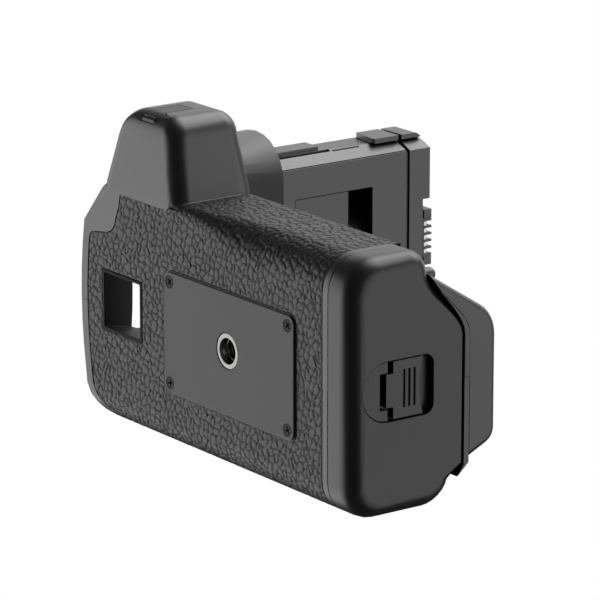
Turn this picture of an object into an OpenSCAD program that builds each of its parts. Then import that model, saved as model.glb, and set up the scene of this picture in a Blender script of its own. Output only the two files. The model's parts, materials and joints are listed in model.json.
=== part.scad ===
// Battery grip for a small single-lens reflex camera.
// Upright frame: +Z towards the camera, -Y to the front, +X to the magazine end.
// The origin lies on the tripod socket's axis, at the face of the tripod plate.

/* [Lower housing] */
// Distance from the socket axis to the left end
body_left = 73; // [68:0.5:80]
// Distance from the socket axis to the magazine end
body_right = 55; // [52:0.5:62]
// Depth of the housing in front of the socket axis
body_front = 35.6; // [34:0.2:40]
// Depth of the housing behind the socket axis
body_rear = 35.6; // [34:0.2:40]
// How far the tripod plate stands proud of the skin
plate_proud = 0.5; // [0.2:0.1:1]
// Radius of the long rounded edges
edge_r = 10; // [8:0.5:11]
// Radius of the front lower edge beside the hump
root_r = 2.5; // [1.5:0.5:5]
// Length over which that radius grows to the full one
root_run = 38; // [25:1:50]
// Height of the front shoulder
front_h = 27.5; // [25:0.5:30]
// Radius at the top of the front shoulder
front_r = 6; // [4:0.5:7]
// Height of the rear bulge
rear_h = 35.9; // [33:0.1:37]
// Depth at which the rear bulge runs into the upper cover
neck_rear = 24.8; // [24.3:0.1:27]
// Depth at which the front shoulder reaches full height
shoulder_back = -11; // [-12:0.5:-9]
// Height of the parting plane between the shells and the upper cover
deck_h = 40; // [39.5:0.1:43]
// Wall of the moulded shells
wall = 2; // [1.6:0.1:2.4]
// Depth at which front and rear shell part
part_y = 1; // [0:0.5:3]
// Radius of the rear left corner in plan
left_r = 14; // [10:0.5:16]
// Radius of the bowed left end in plan
bow_r = 130; // [100:5:200]
// Depth at which the left shoulder begins
cheek_y = -22.5; // [-24:0.5:-20]
// Place along the length at which the left shoulder meets the front
cheek_x = -58; // [-60:0.5:-56]

/* [Hump] */
// Forward reach of the hand hump
hump_front = 58; // [55:0.2:61]
// Left end of the hump at its root
hump_left = 62.5; // [60:0.5:64]
// Right end of the hump at its root
hump_right = 24.5; // [23:0.5:28]
// Radius of the hump's side edges
hump_r = 5; // [3:0.5:6]
// Radius of the hump's front edges
hump_nose_r = 5; // [3:0.5:7]
// Radius of the hump's left front edge
hump_left_r = 8.5; // [7.5:0.5:9]
// Draft of the hump's left side, across per unit of reach
hump_left_draft = 0.31; // [0.2:0.01:0.4]
// Draft of the hump's right side
hump_right_draft = 0.24; // [0.15:0.01:0.35]
// Draft of the hump's lower and upper sides
hump_z_draft = 0.1; // [0.05:0.01:0.15]

/* [Skin] */
// Thickness of the rubber skin
skin_t = 1; // [0.8:0.1:1.2]
// Height that the skin reaches on the front and the rear
skin_h = 25; // [18:0.5:26]
// Right edge of the skin
skin_right = 42.7; // [40:0.1:44]
// Bare margin at the left end of the skin
skin_margin = 3.2; // [2.6:0.2:5]

/* [Upper cover] */
// Height of the upper cover above the parting plane
cover_h = 9.5; // [8.5:0.1:12]
// How far the upper cover stays inside the left end
cover_step = 2; // [0.5:0.1:4]
// Front edge of the upper cover at the height of the front shoulder
cover_front = 28.6; // [27:0.1:29.4]
// Rear edge of the upper cover at the parting plane
cover_rear = 24.1; // [23:0.1:24.7]
// Lean of the cover's front, from upright
cover_front_lean = 32; // [25:1:36]
// Lean of the cover's rear, from upright
cover_rear_lean = 25; // [15:1:30]
// Radius of the cover's front edge towards the camera
cover_front_r = 10; // [7:0.5:11]
// Radius of the cover's rear edge towards the camera
cover_rear_r = 5; // [3:0.5:6]
// Radius of the cover's edge at the magazine end
cover_end_r = 2.5; // [1.5:0.5:4]
// Right edge of the collar on the camera face
collar_right_top = 42.5; // [42:0.1:43]
// Right edge of the collar on the hump
collar_right_low = 29; // [28:0.5:32]
// Forward reach of the collar on the camera face
collar_front = 44.2; // [43:0.2:46]
// Forward reach of the collar on the hump
collar_front_low = 45; // [43:0.5:46]
// Corner radius of the collar on the camera face
collar_r = 13; // [10:0.5:13.5]

/* [Tripod plate] */
// Length of the plate
plate_l = 61; // [56:0.5:66]
// Depth of the plate
plate_w = 34.5; // [32:0.5:38]
// Thickness of the plate
plate_t = 1.5; // [1.2:0.1:1.8]
// Corner radius of the plate
plate_r = 2.5; // [1.5:0.5:4]
// Inset of the screws from the plate's edges
plate_screw_inset = 2.8; // [2.6:0.1:4]
// Head radius of the plate screws
plate_head_r = 1.9; // [1.6:0.1:2.2]
// Shank radius of the plate screws
plate_shank_r = 0.95; // [0.8:0.05:1.1]
// Outer radius of the socket's lip
socket_lip_r = 5; // [4.6:0.1:5.5]
// Radius of the socket's thread crests, for a quarter-inch screw
socket_bore_r = 2.6; // [2.5:0.05:2.8]
// Height of the socket
socket_h = 6.3; // [5.5:0.1:6.35]

/* [Strap hole] */
// Left edge of the strap hole
strap_left = 61; // [60:0.5:63]
// Right edge of the strap hole
strap_right = 43.3; // [40:0.1:46]
// Front edge of the strap hole
strap_front = 9; // [7:0.1:10]
// Rear edge of the strap hole
strap_rear = 6.7; // [5:0.1:8]
// Lowest point of the strap hole's mouth in the left end
strap_sill = 19.6; // [17:0.2:21]
// Highest point of the strap hole
strap_roof = 31; // [28:0.5:33]
// Wall of the strap hole's liner
liner_t = 1; // [0.8:0.1:1.2]

/* [Magazine] */
// Plane where the end cap meets the shells
cap_plane = 45; // [44:0.1:47]
// Thickness of the rim of the shells above the end cap
strip_t = 2; // [1.8:0.1:2.6]
// Radius of the end cap's rim
cap_r = 5; // [3:0.5:5.5]
// Radius of the end cap's edge along the rim of the shells
cap_lip_r = 1; // [0.5:0.1:2]
// Wall of the end cap
cap_wall = 2.2; // [1.8:0.1:2.6]
// Width of the magazine
tray_w = 40.2; // [40:0.1:40.4]
// Depth at which the magazine is centred
tray_y = 6.4; // [6:0.1:6.8]
// Thickness of one battery, with room to move
cell_h = 14.05; // [13.9:0.05:14.1]
// Wall of the magazine
tray_wall = 0.9; // [0.8:0.05:1]
// Inner end of the magazine
tray_end = 8; // [6:0.5:10]

/* [Latch] */
// Lowest point of the latch pocket
latch_low = 4.4; // [3.5:0.1:6]
// Highest point of the latch pocket
latch_high = 27.9; // [26:0.1:29]
// Half width of the latch pocket
latch_r = 8.35; // [7.5:0.05:9]
// Depth at which the latch is centred
latch_y = 0.6; // [0:0.1:1.5]
// Depth of the latch pocket
latch_deep = 2.4; // [2:0.1:2.6]
// Travel of the latch
latch_travel = 1.6; // [1.2:0.1:1.7]
// Pitch of the grip grooves on the slider
groove_pitch = 1.7; // [1.4:0.1:2]

/* [Mounting wheel] */
// Depth of the mounting screw's axis
screw_y = 8.5; // [8:0.1:9]
// Radius of the thumb wheel
wheel_r = 16; // [15:0.1:16.1]
// Thickness of the thumb wheel
wheel_t = 4.8; // [4:0.1:5]
// Number of grip notches on the wheel
wheel_teeth = 48; // [36:2:60]
// Thread radius of the mounting screw
stud_r = 3.1; // [2.9:0.05:3.2]
// Length of the mounting screw above the camera face
stud_h = 5; // [4:0.1:6]

/* [Battery insert] */
// Near side of the insert
insert_near = 44.5; // [44:0.1:46]
// Thickness of the insert
insert_t = 14; // [13.5:0.1:14.5]
// Front of the insert
insert_front = 36.8; // [36:0.1:38]
// Depth of the insert
insert_w = 38; // [37:0.1:38.5]
// Length of the insert above the camera face
insert_h = 53.9; // [52:0.1:56]
// Height of the insert's head
head_h = 7.5; // [6:0.1:9]
// Height of the groove under the head
groove_h = 1; // [0.8:0.1:1.6]
// Bevel of the front edge, across the thickness
bevel_x = 6; // [4:0.5:7]
// Bevel of the front edge, across the depth
bevel_y = 2.6; // [2:0.1:3.5]
// Number of contact blades
blade_count = 5; // [4:1:6]

/* [Release button] */
// Radius of the release button
button_r = 4; // [3.5:0.1:4.2]
// Outer radius of the power lever
lever_r = 6.1; // [5.8:0.1:6.2]
// Height of the release button's axis
button_z = 14.5; // [12:0.5:16]
// Travel of the release button
button_travel = 1; // [0.6:0.1:1.2]

/* [Hidden] */
$fn = 48;

// Clearance between faces that move past each other
gap = 0.3;
// Clearance of a running fit, and of a piece that is let in
run_gap = 0.05;
inlay_gap = 0.1;
// Overshoot of a cut past the face it opens
cut = 0.1;
// Length that clears the whole part
far = 150;
// Steps of a quarter arc, of the shoulder's curve and of the growing edge radius
arc_steps = 6;
s_steps = 10;
root_steps = 6;
base_z = plate_proud;
shell_in = skin_t + wall;
floor_z = base_z + shell_in;
roof_z = deck_h - wall;
top_h = deck_h + cover_h;
cap_h = deck_h - strip_t;
cover_in_z = top_h - wall;
shoulder_front = -body_front + front_r;
neck_angle = 70;
hump_root = -body_front;
// Depth to which the hump's root is sunk into the housing
hump_sunk = 8;
plate_y = part_y;
plate_screw_x = plate_l / 2 - plate_screw_inset;
plate_screw_y = plate_w / 2 - plate_screw_inset;
// Posts of the plate screws and of the cover screws
plate_post_r = 2.4;
plate_post_h = 2.4;
cover_post_r = 2.6;
cover_head_r = 2;
cover_shank_r = 1;
cover_screw_l = 7;
cover_screw_end = 7;
cover_screw_x = 33;
cover_screw_rear = 14;
cover_screw_front = -5;
// Flange and neck of the socket, and the room around them
flange_r = 7;
flange_h = 1.5;
socket_neck_r = 4.6;
socket_mouth_r = 3.9;
socket_mouth_h = 0.8;
// Left edge of the skin: end of the bow, its small corner, and the arc round the left shoulder
skin_bow_end = 17;
skin_corner_r = 3;
skin_arc_r = 5.6;
skin_arc_x = cheek_x - 2.5;
skin_arc_y = cheek_y - 4;
skin_root = 1.3;
// How far the strap's way out reaches further to the rear than its way in
strap_skew = 6.3;
// Height above the base at which the strap's way begins to slant
strap_mouth = 4;
skin_root_x = hump_left - 10.1;
// Frame of the bay and of the magazine
bay_wall = 1.2;
bay_floor_t = 0.8;
bay_rim = 1.6;
bay_end_t = 1.5;
bay_rail = 3;
tray_z0 = socket_h + inlay_gap + bay_floor_t + gap;
web_z = tray_z0 + cell_h;
tray_z1 = web_z + tray_wall + cell_h;
bay_end = tray_end + 2;
tray_end_t = 1.2;
tray_gap = 0.2;
tray_window_w = 18;
tray_window_h = 9;
front_t = 1.4;
// Screws between the magazine and its cap
cap_screw_y = 16;
cap_post_r = 3;
cap_head_r = 1.8;
cap_shank_r = 1;
cap_screw_l = 5.5;
// Contacts of the bay
bay_contact_y = 6;
bay_contact = [1.1, 2, 6];
// Flap of the cable port, with the ear and the ridges of its finger tab
port_x0 = -hump_left + 17;
port_x1 = port_x0 + 6.4;
port_z0 = base_z + 2.8;
port_z1 = port_z0 + 12.7;
port_ear = 4.6;
port_ear_h = 3.3;
port_deep = 8;
port_t = wall - 0.9;
port_seat = wall - 0.6;
port_gap = 0.25;
ridge = 0.4;
// Jack behind the flap
jack_x = (port_x0 + port_x1) / 2;
jack_z = port_z0 + 8.2;
jack_r = 2.55;
jack_bore_r = 1.3;
jack_l = 11;
jack_half = 3;
jack_back = 0.5;
// Board inside the front of the housing, with its two chips
board_x0 = -hump_left + 20.5;
board_x1 = -hump_right + 10.5;
board_y = hump_root + 11.2;
board_t = 1.4;
board_h = front_h - 3.5;
chip_t = 1.3;
// Release button, with its switch, ledge and collar
cheek_place = 6.4;
button_proud = 1.4;
button_l = 5.4;
button_lip = 0.8;
button_lip_h = 1.2;
lever_low = -1.5;
lever_t = 2.2;
lever_tab = [1.3, 1.4, 1];
ledge_low = -13;
ledge_t = 2;
ledge_half = 5;
switch_half = 3;
switch_h = 4.2;
plunger_r = 1.5;
// Stud at the front of the upper cover
peg_x = 27;
peg_y = -20;
peg_r = 2;
// Wheel on the mounting screw
wheel_gap = 0.4;
wheel_room = 0.6;
wheel_z1 = cover_in_z - wheel_gap;
wheel_z0 = wheel_z1 - wheel_t;
notch_r = 0.7;
notch_out = 0.3;
clip_t = 0.5;
clip_r = 7;
hub_r = 4;
neck_r = 4.5;
neck_low = 0.2;
stud_tip = 0.4;
// Battery insert: planes, walls and mouldings on its front
insert_x0 = -insert_near - insert_t;
insert_top = top_h + insert_h;
insert_rear = -insert_front + insert_w;
head_z0 = insert_top - head_h;
frame_z1 = head_z0 - groove_h;
groove_deep = 0.6;
side_t = 1.5;
side_gap = 0.18;
foot_t = 1.6;
foot_out = 2;
foot_near = 3;
block_t = 1.4;
block_near = 2;
block_low = 9;
block_slant = 1;
ledge_near = 6.5;
rail_t = 1;
rail_h = 19;
slot_x = 5.2;
slot_w = 1.2;
slot_deep = 1.6;
slot_h = 21.5;
slit_w = 0.5;
slit_deep = 0.8;
slit_z = 22.3;
slit_h = 9.5;
head_r = 3;
window_top = 11.6;
window_w = 19;
window_z = 24.4;
window_h = 8.5;
window2_y = 29.9;
window2_w = 6;
window2_z = 36;
window2_h = 7.3;
panel_z = 5.6;
panel_deep = 0.15;
// Comb with its jaws, ribs and blades
comb_y0 = -insert_front + 21.2;
comb_z = insert_top - 2.4;
comb_notch = 3.3;
comb_floor = 0.9;
comb_in = 1.2;
comb_near = 0.4;
jaw = 2.8;
jaw_h = 3.5;
rib_t = 0.8;
comb_run = insert_rear - comb_y0 - 2 * jaw;
rib_pitch = (comb_run - rib_t) / blade_count;
comb_x0 = insert_x0 + comb_in;
comb_x1 = -insert_near - comb_near;
blade_t = 0.7;
blade_h = 1.9;
blade_in = 1.5;
blade_foot = 0.25;
// Flat lead inside the insert
lead_x = -insert_near - insert_t / 2 - 0.5;
lead_y = -insert_front + 30;
lead_w = 5.5;
lead_t = 0.4;
// Latch: planes, pocket, guide, slider, bolt and spring
latch_floor = body_right - latch_deep;
latch_back = latch_floor - wall;
latch_corner = 3;
latch_fit = 0.25;
guide_h = 8.6;
guide_z = latch_low + guide_h;
guide_slot = 5;
guide_slot_h = 2.6;
guide_sunk = 0.4;
slider_z = guide_z + latch_travel + gap;
slider_top = latch_high - 3.3;
slider_sunk = 0.5;
tongue_h = 2.3;
tongue_gap = 0.4;
dip_r = 28;
grip_half = 5.2;
grip_low = 3.3;
grip_w = 0.6;
grip_deep = 0.5;
stem_half = 4;
stem_z0 = slider_z + 2.1;
stem_h = 5;
bolt_x1 = latch_back - gap;
bolt_t = 1.4;
bolt_half = 5;
bolt_z0 = slider_z - 0.9;
bolt_z1 = cap_h - 5.5;
nose_half = 3;
nose_low = gap;
keeper_h = 1.3;
keeper_room = 0.5;
spring_seat = 3.6;
spring_seat_t = 1.2;
spring_r = 1.6;
spring_bore = 1.1;
spring_x = 1.9;

function arc(c, r, a0, a1, n = arc_steps) =
    [for (i = [0:n]) c + r * [cos(a0 + (a1 - a0) * i / n), sin(a0 + (a1 - a0) * i / n)]];

function ease(t) = t * t * (3 - 2 * t);
function blend(a, b, t) = a + (b - a) * t;

// Front shoulder, from full height down to its last step before the front edge,
// inset by i at its front and by j at its back
function shoulder(top, i, j) =
    [for (k = [0:s_steps - 1]) let (t = 1 - k / s_steps)
        [blend(shoulder_front, shoulder_back, t), blend(front_h, top, ease(t)) - blend(i, j, ease(t))]];

// Cross-section of the lower housing in depth and height, inset by i, and by j along its top
function lower_profile(top, i = 0, j) = let (lip = is_undef(j) ? i : j) concat(
    arc([-body_front + edge_r, base_z + edge_r], edge_r - i, 180, 270),
    arc([body_rear - edge_r, base_z + edge_r], edge_r - i, 270, 360),
    arc([body_rear - edge_r, rear_h - edge_r], edge_r - i, 0, neck_angle),
    [[neck_rear - lip, top - lip]],
    shoulder(top, i, lip),
    arc([shoulder_front, front_h - front_r], front_r - i, 90, 180));

// Outline of the housing's left end in plan, inset by i
function bow_x(y, i) = -body_left + i + y * y / (2 * bow_r);
function left_plan(i) = let (corner_y = body_rear - left_r) concat(
    [[far, -far], [far, body_rear - i]],
    arc([bow_x(corner_y, 0) + left_r, corner_y], left_r - i, 90, 180),
    [for (k = [1:arc_steps]) let (y = blend(corner_y, cheek_y, k / arc_steps)) [bow_x(y, i), y]],
    [cheek_end + [cheek_slope * i, 0], [cheek_end[0] + cheek_slope * i, -far]]);

// Rounded rectangle in plan, from its two corners
function round_rect(x0, y0, x1, y1, r) = concat(
    arc([x1 - r, y0 + r], r, -90, 0), arc([x1 - r, y1 - r], r, 0, 90),
    arc([x0 + r, y1 - r], r, 90, 180), arc([x0 + r, y0 + r], r, 180, 270));

// Front lower edge at a place along the length, and its rings, inset by i
function root_radius(x) = blend(root_r, edge_r, ease(max(0, min(1, (x + hump_right) / root_run))));
function root_ring(x, i) = let (
    r = max(root_radius(x) - i, gap), y = -body_front + i, z = base_z + i)
    [for (p = concat([[-body_front + edge_r, base_z + edge_r], [y, base_z + edge_r]],
        arc([y + r, z + r], r, 180, 270), [[-body_front + edge_r, z]])) [x, p[0], p[1]]];
function root_rings(i) = concat([root_ring(-body_left, i)],
    [for (k = [0:root_steps]) root_ring(-hump_right + root_run * k / root_steps, i)]);

// One ring of the hump at depth y, drawn in by e, and by d at its left side
function hump_ring(y, e, d) = let (
    reach = max(hump_root - y, 0),
    x0 = -hump_left + hump_left_draft * reach + d,
    x1 = -hump_right - hump_right_draft * reach - e,
    z0 = base_z + hump_z_draft * reach + e,
    z1 = front_h - hump_z_draft * reach - e)
    [for (p = round_rect(x0, z0, x1, z1, max(hump_r - e, 2 * gap))) [p[0], y, p[1]]];

// How far a front edge of radius r is drawn in at depth y, inset by i
function nose_in(y, r, i) = r - sqrt(max(0, (r - i) ^ 2 - max(0, r - hump_front - y) ^ 2));

// Rings of the hump from its root to its nose, inset by i
function hump_rings(i) = let (left = -hump_front + hump_left_r, nose = -hump_front + hump_nose_r)
    [for (y = concat([hump_root + hump_sunk, hump_root, (hump_root + left) / 2],
        [for (k = [0:2]) blend(left, nose, k / 3)],
        [for (k = [0:arc_steps]) nose - (hump_nose_r - i) * sin(90 * k / arc_steps)]))
        hump_ring(y, nose_in(y, hump_nose_r, i), nose_in(y, hump_left_r, i))];

// Rings of the end cap from its plane to its outer face
function cap_rings() = let (x0 = body_right - cap_r) concat(
    [for (x = [cap_plane + gap / 2, x0]) [for (p = lower_profile(cap_h)) [x, p[0], p[1]]]],
    [for (k = [1:arc_steps]) let (a = 90 * k / arc_steps, e = cap_r * (1 - cos(a)), x = x0 + cap_r * sin(a),
        late = max(0, x - body_right + cap_lip_r), lip = cap_lip_r - sqrt(cap_lip_r ^ 2 - late ^ 2))
        [for (p = lower_profile(cap_h, e, lip)) [x, p[0], p[1]]]]);

// Cross-section of the upper cover in depth and height, inset by i
function wall_foot(c, r, a, z) = [c[0] + (r - (z - c[1]) * sin(a)) / cos(a), z];
function cover_profile(i) = let (
    fa = 180 - cover_front_lean, ra = cover_rear_lean,
    fz = top_h - cover_front_r, rz = top_h - cover_rear_r,
    fc = [-cover_front - (cover_front_r - (front_h - fz) * sin(fa)) / cos(fa), fz],
    rc = [cover_rear - (cover_rear_r - (deck_h - rz) * sin(ra)) / cos(ra), rz])
    concat([wall_foot(rc, cover_rear_r - i, ra, deck_h - cover_sunk)],
        arc(rc, cover_rear_r - i, ra, 90), arc(fc, cover_front_r - i, 90, fa),
        [wall_foot(fc, cover_front_r - i, fa, front_h - cover_front_sunk)]);

// Rings of the upper cover from the left end to its rounded right end
function cover_rings() = let (x0 = body_right - cover_end_r) concat(
    [[for (p = cover_profile(0)) [-body_left, p[0], p[1]]]],
    [for (k = [0:arc_steps]) let (a = 90 * k / arc_steps)
        [for (p = cover_profile(cover_end_r * (1 - cos(a)))) [x0 + cover_end_r * sin(a), p[0], p[1]]]]);

// Outline of the latch pocket in depth and height, inset by i
function latch_plan(i) = concat(
    arc([latch_y, latch_low + latch_r], latch_r - i, 180, 360, 2 * arc_steps),
    arc([latch_y + latch_r - latch_corner, latch_high - latch_corner], latch_corner - i, 0, 90),
    arc([latch_y - latch_r + latch_corner, latch_high - latch_corner], latch_corner - i, 90, 180));

// Outline of the insert in plan, inset by i
function insert_plan(i) = let (
    x0 = insert_x0 + i, x1 = -insert_near - i, y0 = -insert_front + i, y1 = insert_rear - i)
    [[x0, y1], [x0, y0], [x1 - bevel_x, y0], [x1, y0 + bevel_y], [x1, y1]];

// Extrusions of a depth and height outline along X, and of a length and height outline along -Y
module along_x(x0, x1) {
    translate([x0, 0, 0]) rotate([90, 0, 90]) linear_extrude(x1 - x0) children();
}
module along_y(y0, y1) {
    translate([0, y1, 0]) rotate([90, 0, 0]) linear_extrude(y1 - y0) children();
}

// Solid box between two corners
module box(low, high) {
    translate(low) cube(high - low);
}

// Solid through a list of rings with equal counts of points
module loft(rings) {
    n = len(rings[0]);
    last = len(rings) - 1;
    polyhedron(
        points = [for (ring = rings) each ring],
        faces = concat(
            [[for (k = [0:n - 1]) k]], [[for (k = [n - 1:-1:0]) last * n + k]],
            [for (j = [0:last - 1], k = [0:n - 1])
                [j * n + k, (j + 1) * n + k, j * n + (k + 1) % n]],
            [for (j = [0:last - 1], k = [0:n - 1])
                [j * n + (k + 1) % n, (j + 1) * n + k, (j + 1) * n + (k + 1) % n]]));
}

// Room inside an outline of the left end, inset by i, up to a height
module left_bound(i, top) {
    translate([0, 0, -cut]) linear_extrude(top + cut) polygon(left_plan(i));
}

// Lower housing between two planes, inset by i
module lower_form(top, i, x0, x1) {
    intersection() {
        along_x(x0, x1) polygon(lower_profile(top, i));
        left_bound(i, top + skin_t);
    }
}

// Lower housing up to a plane with its front edge tightened beside the hump, inset by i
module outer_form(i, x1) {
    lower_form(deck_h, i, -far, x1);
    intersection() {
        loft(root_rings(i));
        left_bound(i, deck_h);
    }
}

// Countersunk screw, head down
module countersunk(head_r, shank_r, length) {
    cylinder(h = head_r - shank_r, r1 = head_r, r2 = shank_r);
    cylinder(h = length, r = shank_r);
}

// Places of the plate screws and of the cover screws
module at_plate_screws() {
    for (sx = [-1, 1], sy = [-1, 1])
        translate([sx * plate_screw_x, plate_y + sy * plate_screw_y, 0]) children();
}
module at_cover_screws() {
    for (x = [body_right - cover_screw_end, -cover_screw_x], y = [cover_screw_rear, cover_screw_front])
        translate([x, y, 0]) children();
}

// Places children on the left shoulder, with their Z axis pointing out of it
cheek_slope = 1.4;
cheek_start = [bow_x(cheek_y, 0), cheek_y];
cheek_end = [cheek_x, -body_front - 2];
cheek_run = cheek_end - cheek_start;
cheek_angle = atan2(cheek_run[1], cheek_run[0]) - 90;
cheek_mid = cheek_start + cheek_place * cheek_run / norm(cheek_run);
module at_cheek() {
    translate([cheek_mid[0], cheek_mid[1], button_z]) rotate([0, 0, cheek_angle])
        rotate([0, 90, 0]) children();
}

// Passage of the hand strap, grown by e: up from the base, out through the left end, and aslant between
module strap_passage(e) {
    box([-strap_left - e, -strap_front - e, -cut], [-strap_right + e, strap_rear + e, strap_roof + e]);
    box([-far, -strap_front - e, strap_sill - e], [-strap_right + e, strap_rear + e, strap_roof + e]);
    hull() {
        box([-strap_left - e, -strap_front - e, base_z],
            [-strap_right + e, strap_rear + e, base_z + strap_mouth]);
        box([-body_left - 1, -strap_front - e, strap_sill - e],
            [-body_left - cut, strap_rear + strap_skew + e, strap_roof + e]);
    }
}

// Area of the skin in plan
module skin_area() {
    m = skin_margin;
    corner_y = body_rear - left_r;
    corner_x = bow_x(corner_y, 0) + left_r;
    polygon(concat(
        [[skin_right, -far], [skin_right, far], [corner_x, far]],
        arc([corner_x, corner_y], left_r - m, 90, 180),
        [for (k = [1:arc_steps]) let (y = blend(corner_y, -skin_bow_end, k / arc_steps)) [bow_x(y, m), y]],
        arc([bow_x(skin_bow_end, m) + skin_corner_r, -skin_bow_end], skin_corner_r, 210, 270, 2),
        arc([skin_arc_x, skin_arc_y], skin_arc_r, 75, 5, 3),
        [[-skin_root_x - 1, skin_arc_y - 3], [-skin_root_x, hump_root + skin_root],
         [-hump_right + gap, hump_root + skin_root], [-hump_right + gap, -far]]));
}

// Outline of the tripod plate, grown by e
module plate_area(e) {
    polygon(round_rect(-plate_l / 2 - e, plate_y - plate_w / 2 - e,
        plate_l / 2 + e, plate_y + plate_w / 2 + e, plate_r + e));
}

// Outer envelope of both shells before they part
module shells() {
    difference() {
        union() {
            outer_form(0, body_right);
            loft(hump_rings(0));
            at_cover_screws() translate([0, 0, deck_h - cut])
                cylinder(h = cover_in_z - deck_h + cut, r = cover_post_r);
        }
        grip_skin_solid();
        difference() {
            union() {
                lower_form(deck_h + skin_t, shell_in, -far, cap_plane + cut);
                loft(hump_rings(wall));
            }
            at_plate_screws() translate([0, 0, -cut]) cylinder(h = floor_z + plate_post_h, r = plate_post_r);
            at_cheek() translate([-far, -ledge_half, ledge_low])
                cube([far + ledge_half, 2 * ledge_half, ledge_t]);
        }
        along_x(cap_plane, body_right + cut) polygon(lower_profile(cap_h, -gap));
        box([bolt_x1 - bolt_t - keeper_room, latch_y - nose_half - keeper_room, cap_h],
            [bolt_x1 + keeper_room, latch_y + nose_half + keeper_room, cap_h + keeper_h]);
        strap_passage(liner_t);
        translate([0, 0, -cut]) linear_extrude(plate_t + cut) plate_area(inlay_gap);
        translate([0, 0, plate_t]) cylinder(h = flange_h, r = flange_r + run_gap);
        cylinder(h = floor_z + 1, r = socket_neck_r + inlay_gap);
        at_plate_screws() cylinder(h = floor_z + plate_post_h + cut, r = plate_shank_r);
        at_cover_screws() translate([0, 0, deck_h]) cylinder(h = far, r = cover_shank_r);
        at_cheek() translate([0, 0, lever_low - gap]) cylinder(h = far, r = lever_r + gap);
        at_cheek() translate([0, 0, lever_low - button_l]) cylinder(h = far, r = button_r + run_gap);
        port_solid(0, port_seat, port_gap);
        translate([jack_x, -hump_front - cut, jack_z]) rotate([-90, 0, 0])
            cylinder(h = 2 * wall, r = jack_r + run_gap);
    }
}

module front_shell() {
    color("dimgray") intersection() {
        shells();
        box([-far, -far, -far], [far, part_y, far]);
    }
}

module rear_shell() {
    color("dimgray") intersection() {
        shells();
        box([-far, part_y, -far], [far, far, far]);
    }
}

module grip_skin_solid() {
    difference() {
        intersection() {
            outer_form(0, skin_right);
            translate([0, 0, -cut]) linear_extrude(skin_h + cut) skin_area();
        }
        outer_form(skin_t, skin_right + cut);
        translate([0, 0, -cut]) linear_extrude(far) plate_area(2 * inlay_gap);
        strap_passage(liner_t);
    }
}

module grip_skin() {
    color("#3a3a3a") grip_skin_solid();
}

module strap_liner() {
    color("#141414") difference() {
        intersection() {
            strap_passage(liner_t);
            lower_form(deck_h, 0, -far, body_right);
        }
        strap_passage(0);
    }
}

module tripod_plate() {
    color("#5a5a5a") difference() {
        linear_extrude(plate_t) plate_area(0);
        translate([0, 0, -cut]) cylinder(h = plate_t + 2 * cut, r = socket_lip_r + run_gap);
        at_plate_screws() countersunk(plate_head_r, plate_shank_r, plate_t + cut);
    }
}

module plate_screws() {
    color("#202020") at_plate_screws() countersunk(plate_head_r, plate_shank_r, floor_z + 2);
}

module tripod_socket() {
    color("silver") difference() {
        union() {
            cylinder(h = plate_t, r = socket_lip_r);
            translate([0, 0, plate_t]) cylinder(h = flange_h, r = flange_r);
            cylinder(h = socket_h, r = socket_neck_r);
        }
        translate([0, 0, -cut]) cylinder(h = socket_h + 1, r = socket_bore_r);
        cylinder(h = socket_mouth_h, r1 = socket_mouth_r, r2 = socket_bore_r);
    }
}

// Outline of the cable port's flap in length and height, with the ear beside its finger tab, grown by e
function port_plan(e) = [[port_x0 - e, port_z0 - e], [port_x1 + e, port_z0 - e],
    [port_x1 + port_ear + e, port_z0 + port_ear_h - 1], [port_x1 + e, port_z0 + port_ear_h + e],
    [port_x1 + e, port_z1 + e], [port_x0 - e, port_z1 + e]];

// Flap of the cable port: the hump's own skin between two depths, inside a frame grown by e
module port_solid(out, deep, e) {
    difference() {
        intersection() {
            loft(hump_rings(out));
            along_y(-far, -hump_front + port_deep + e) polygon(port_plan(e));
        }
        loft(hump_rings(deep));
    }
}

module port_cover() {
    color("#303030") union() {
        port_solid(0, port_t, 0);
        intersection() {
            port_solid(-ridge, port_t, 0);
            for (k = [0, 2]) box([port_x0 + ridge, -far, port_z0 + k * ridge],
                [port_x1 - ridge, far, port_z0 + (k + 1) * ridge]);
        }
    }
}

module cable_jack() {
    color("#101010") translate([jack_x, -hump_front, jack_z]) difference() {
        union() {
            translate([0, port_seat + inlay_gap, 0]) rotate([-90, 0, 0])
                cylinder(h = wall - port_seat + jack_back, r = jack_r);
            box([-jack_half, wall + jack_back, -jack_half], [jack_half, wall + jack_l, jack_half]);
        }
        rotate([-90, 0, 0]) cylinder(h = jack_l, r = jack_bore_r);
    }
}

module circuit_board() {
    color("darkgreen") translate([board_x0, board_y, 0]) union() {
        w = board_x1 - board_x0;
        box([0, 0, floor_z], [w, board_t, board_h]);
        box([w / 5, board_t - cut, board_h / 3], [w / 2, board_t + chip_t, board_h * 3 / 5]);
        box([w * 2 / 3, board_t - cut, board_h * 2 / 5], [w * 5 / 6, board_t + chip_t, board_h * 4 / 5]);
    }
}

module release_switch() {
    top = ledge_low + ledge_t + switch_h;
    pressed = button_proud - button_l - button_lip - button_travel;
    color("black") at_cheek() union() {
        translate([-switch_half, -switch_half, ledge_low + ledge_t])
            cube([2 * switch_half, 2 * switch_half, switch_h]);
        translate([0, 0, top - cut]) cylinder(h = pressed - run_gap - top + cut, r = plunger_r);
    }
}

module shutter_button() {
    color("#1c1c1c") at_cheek() union() {
        translate([0, 0, button_proud - button_l]) cylinder(h = button_l, r = button_r);
        translate([0, 0, button_proud - button_l - button_lip])
            cylinder(h = button_lip_h, r = button_r + button_lip);
    }
}

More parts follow.
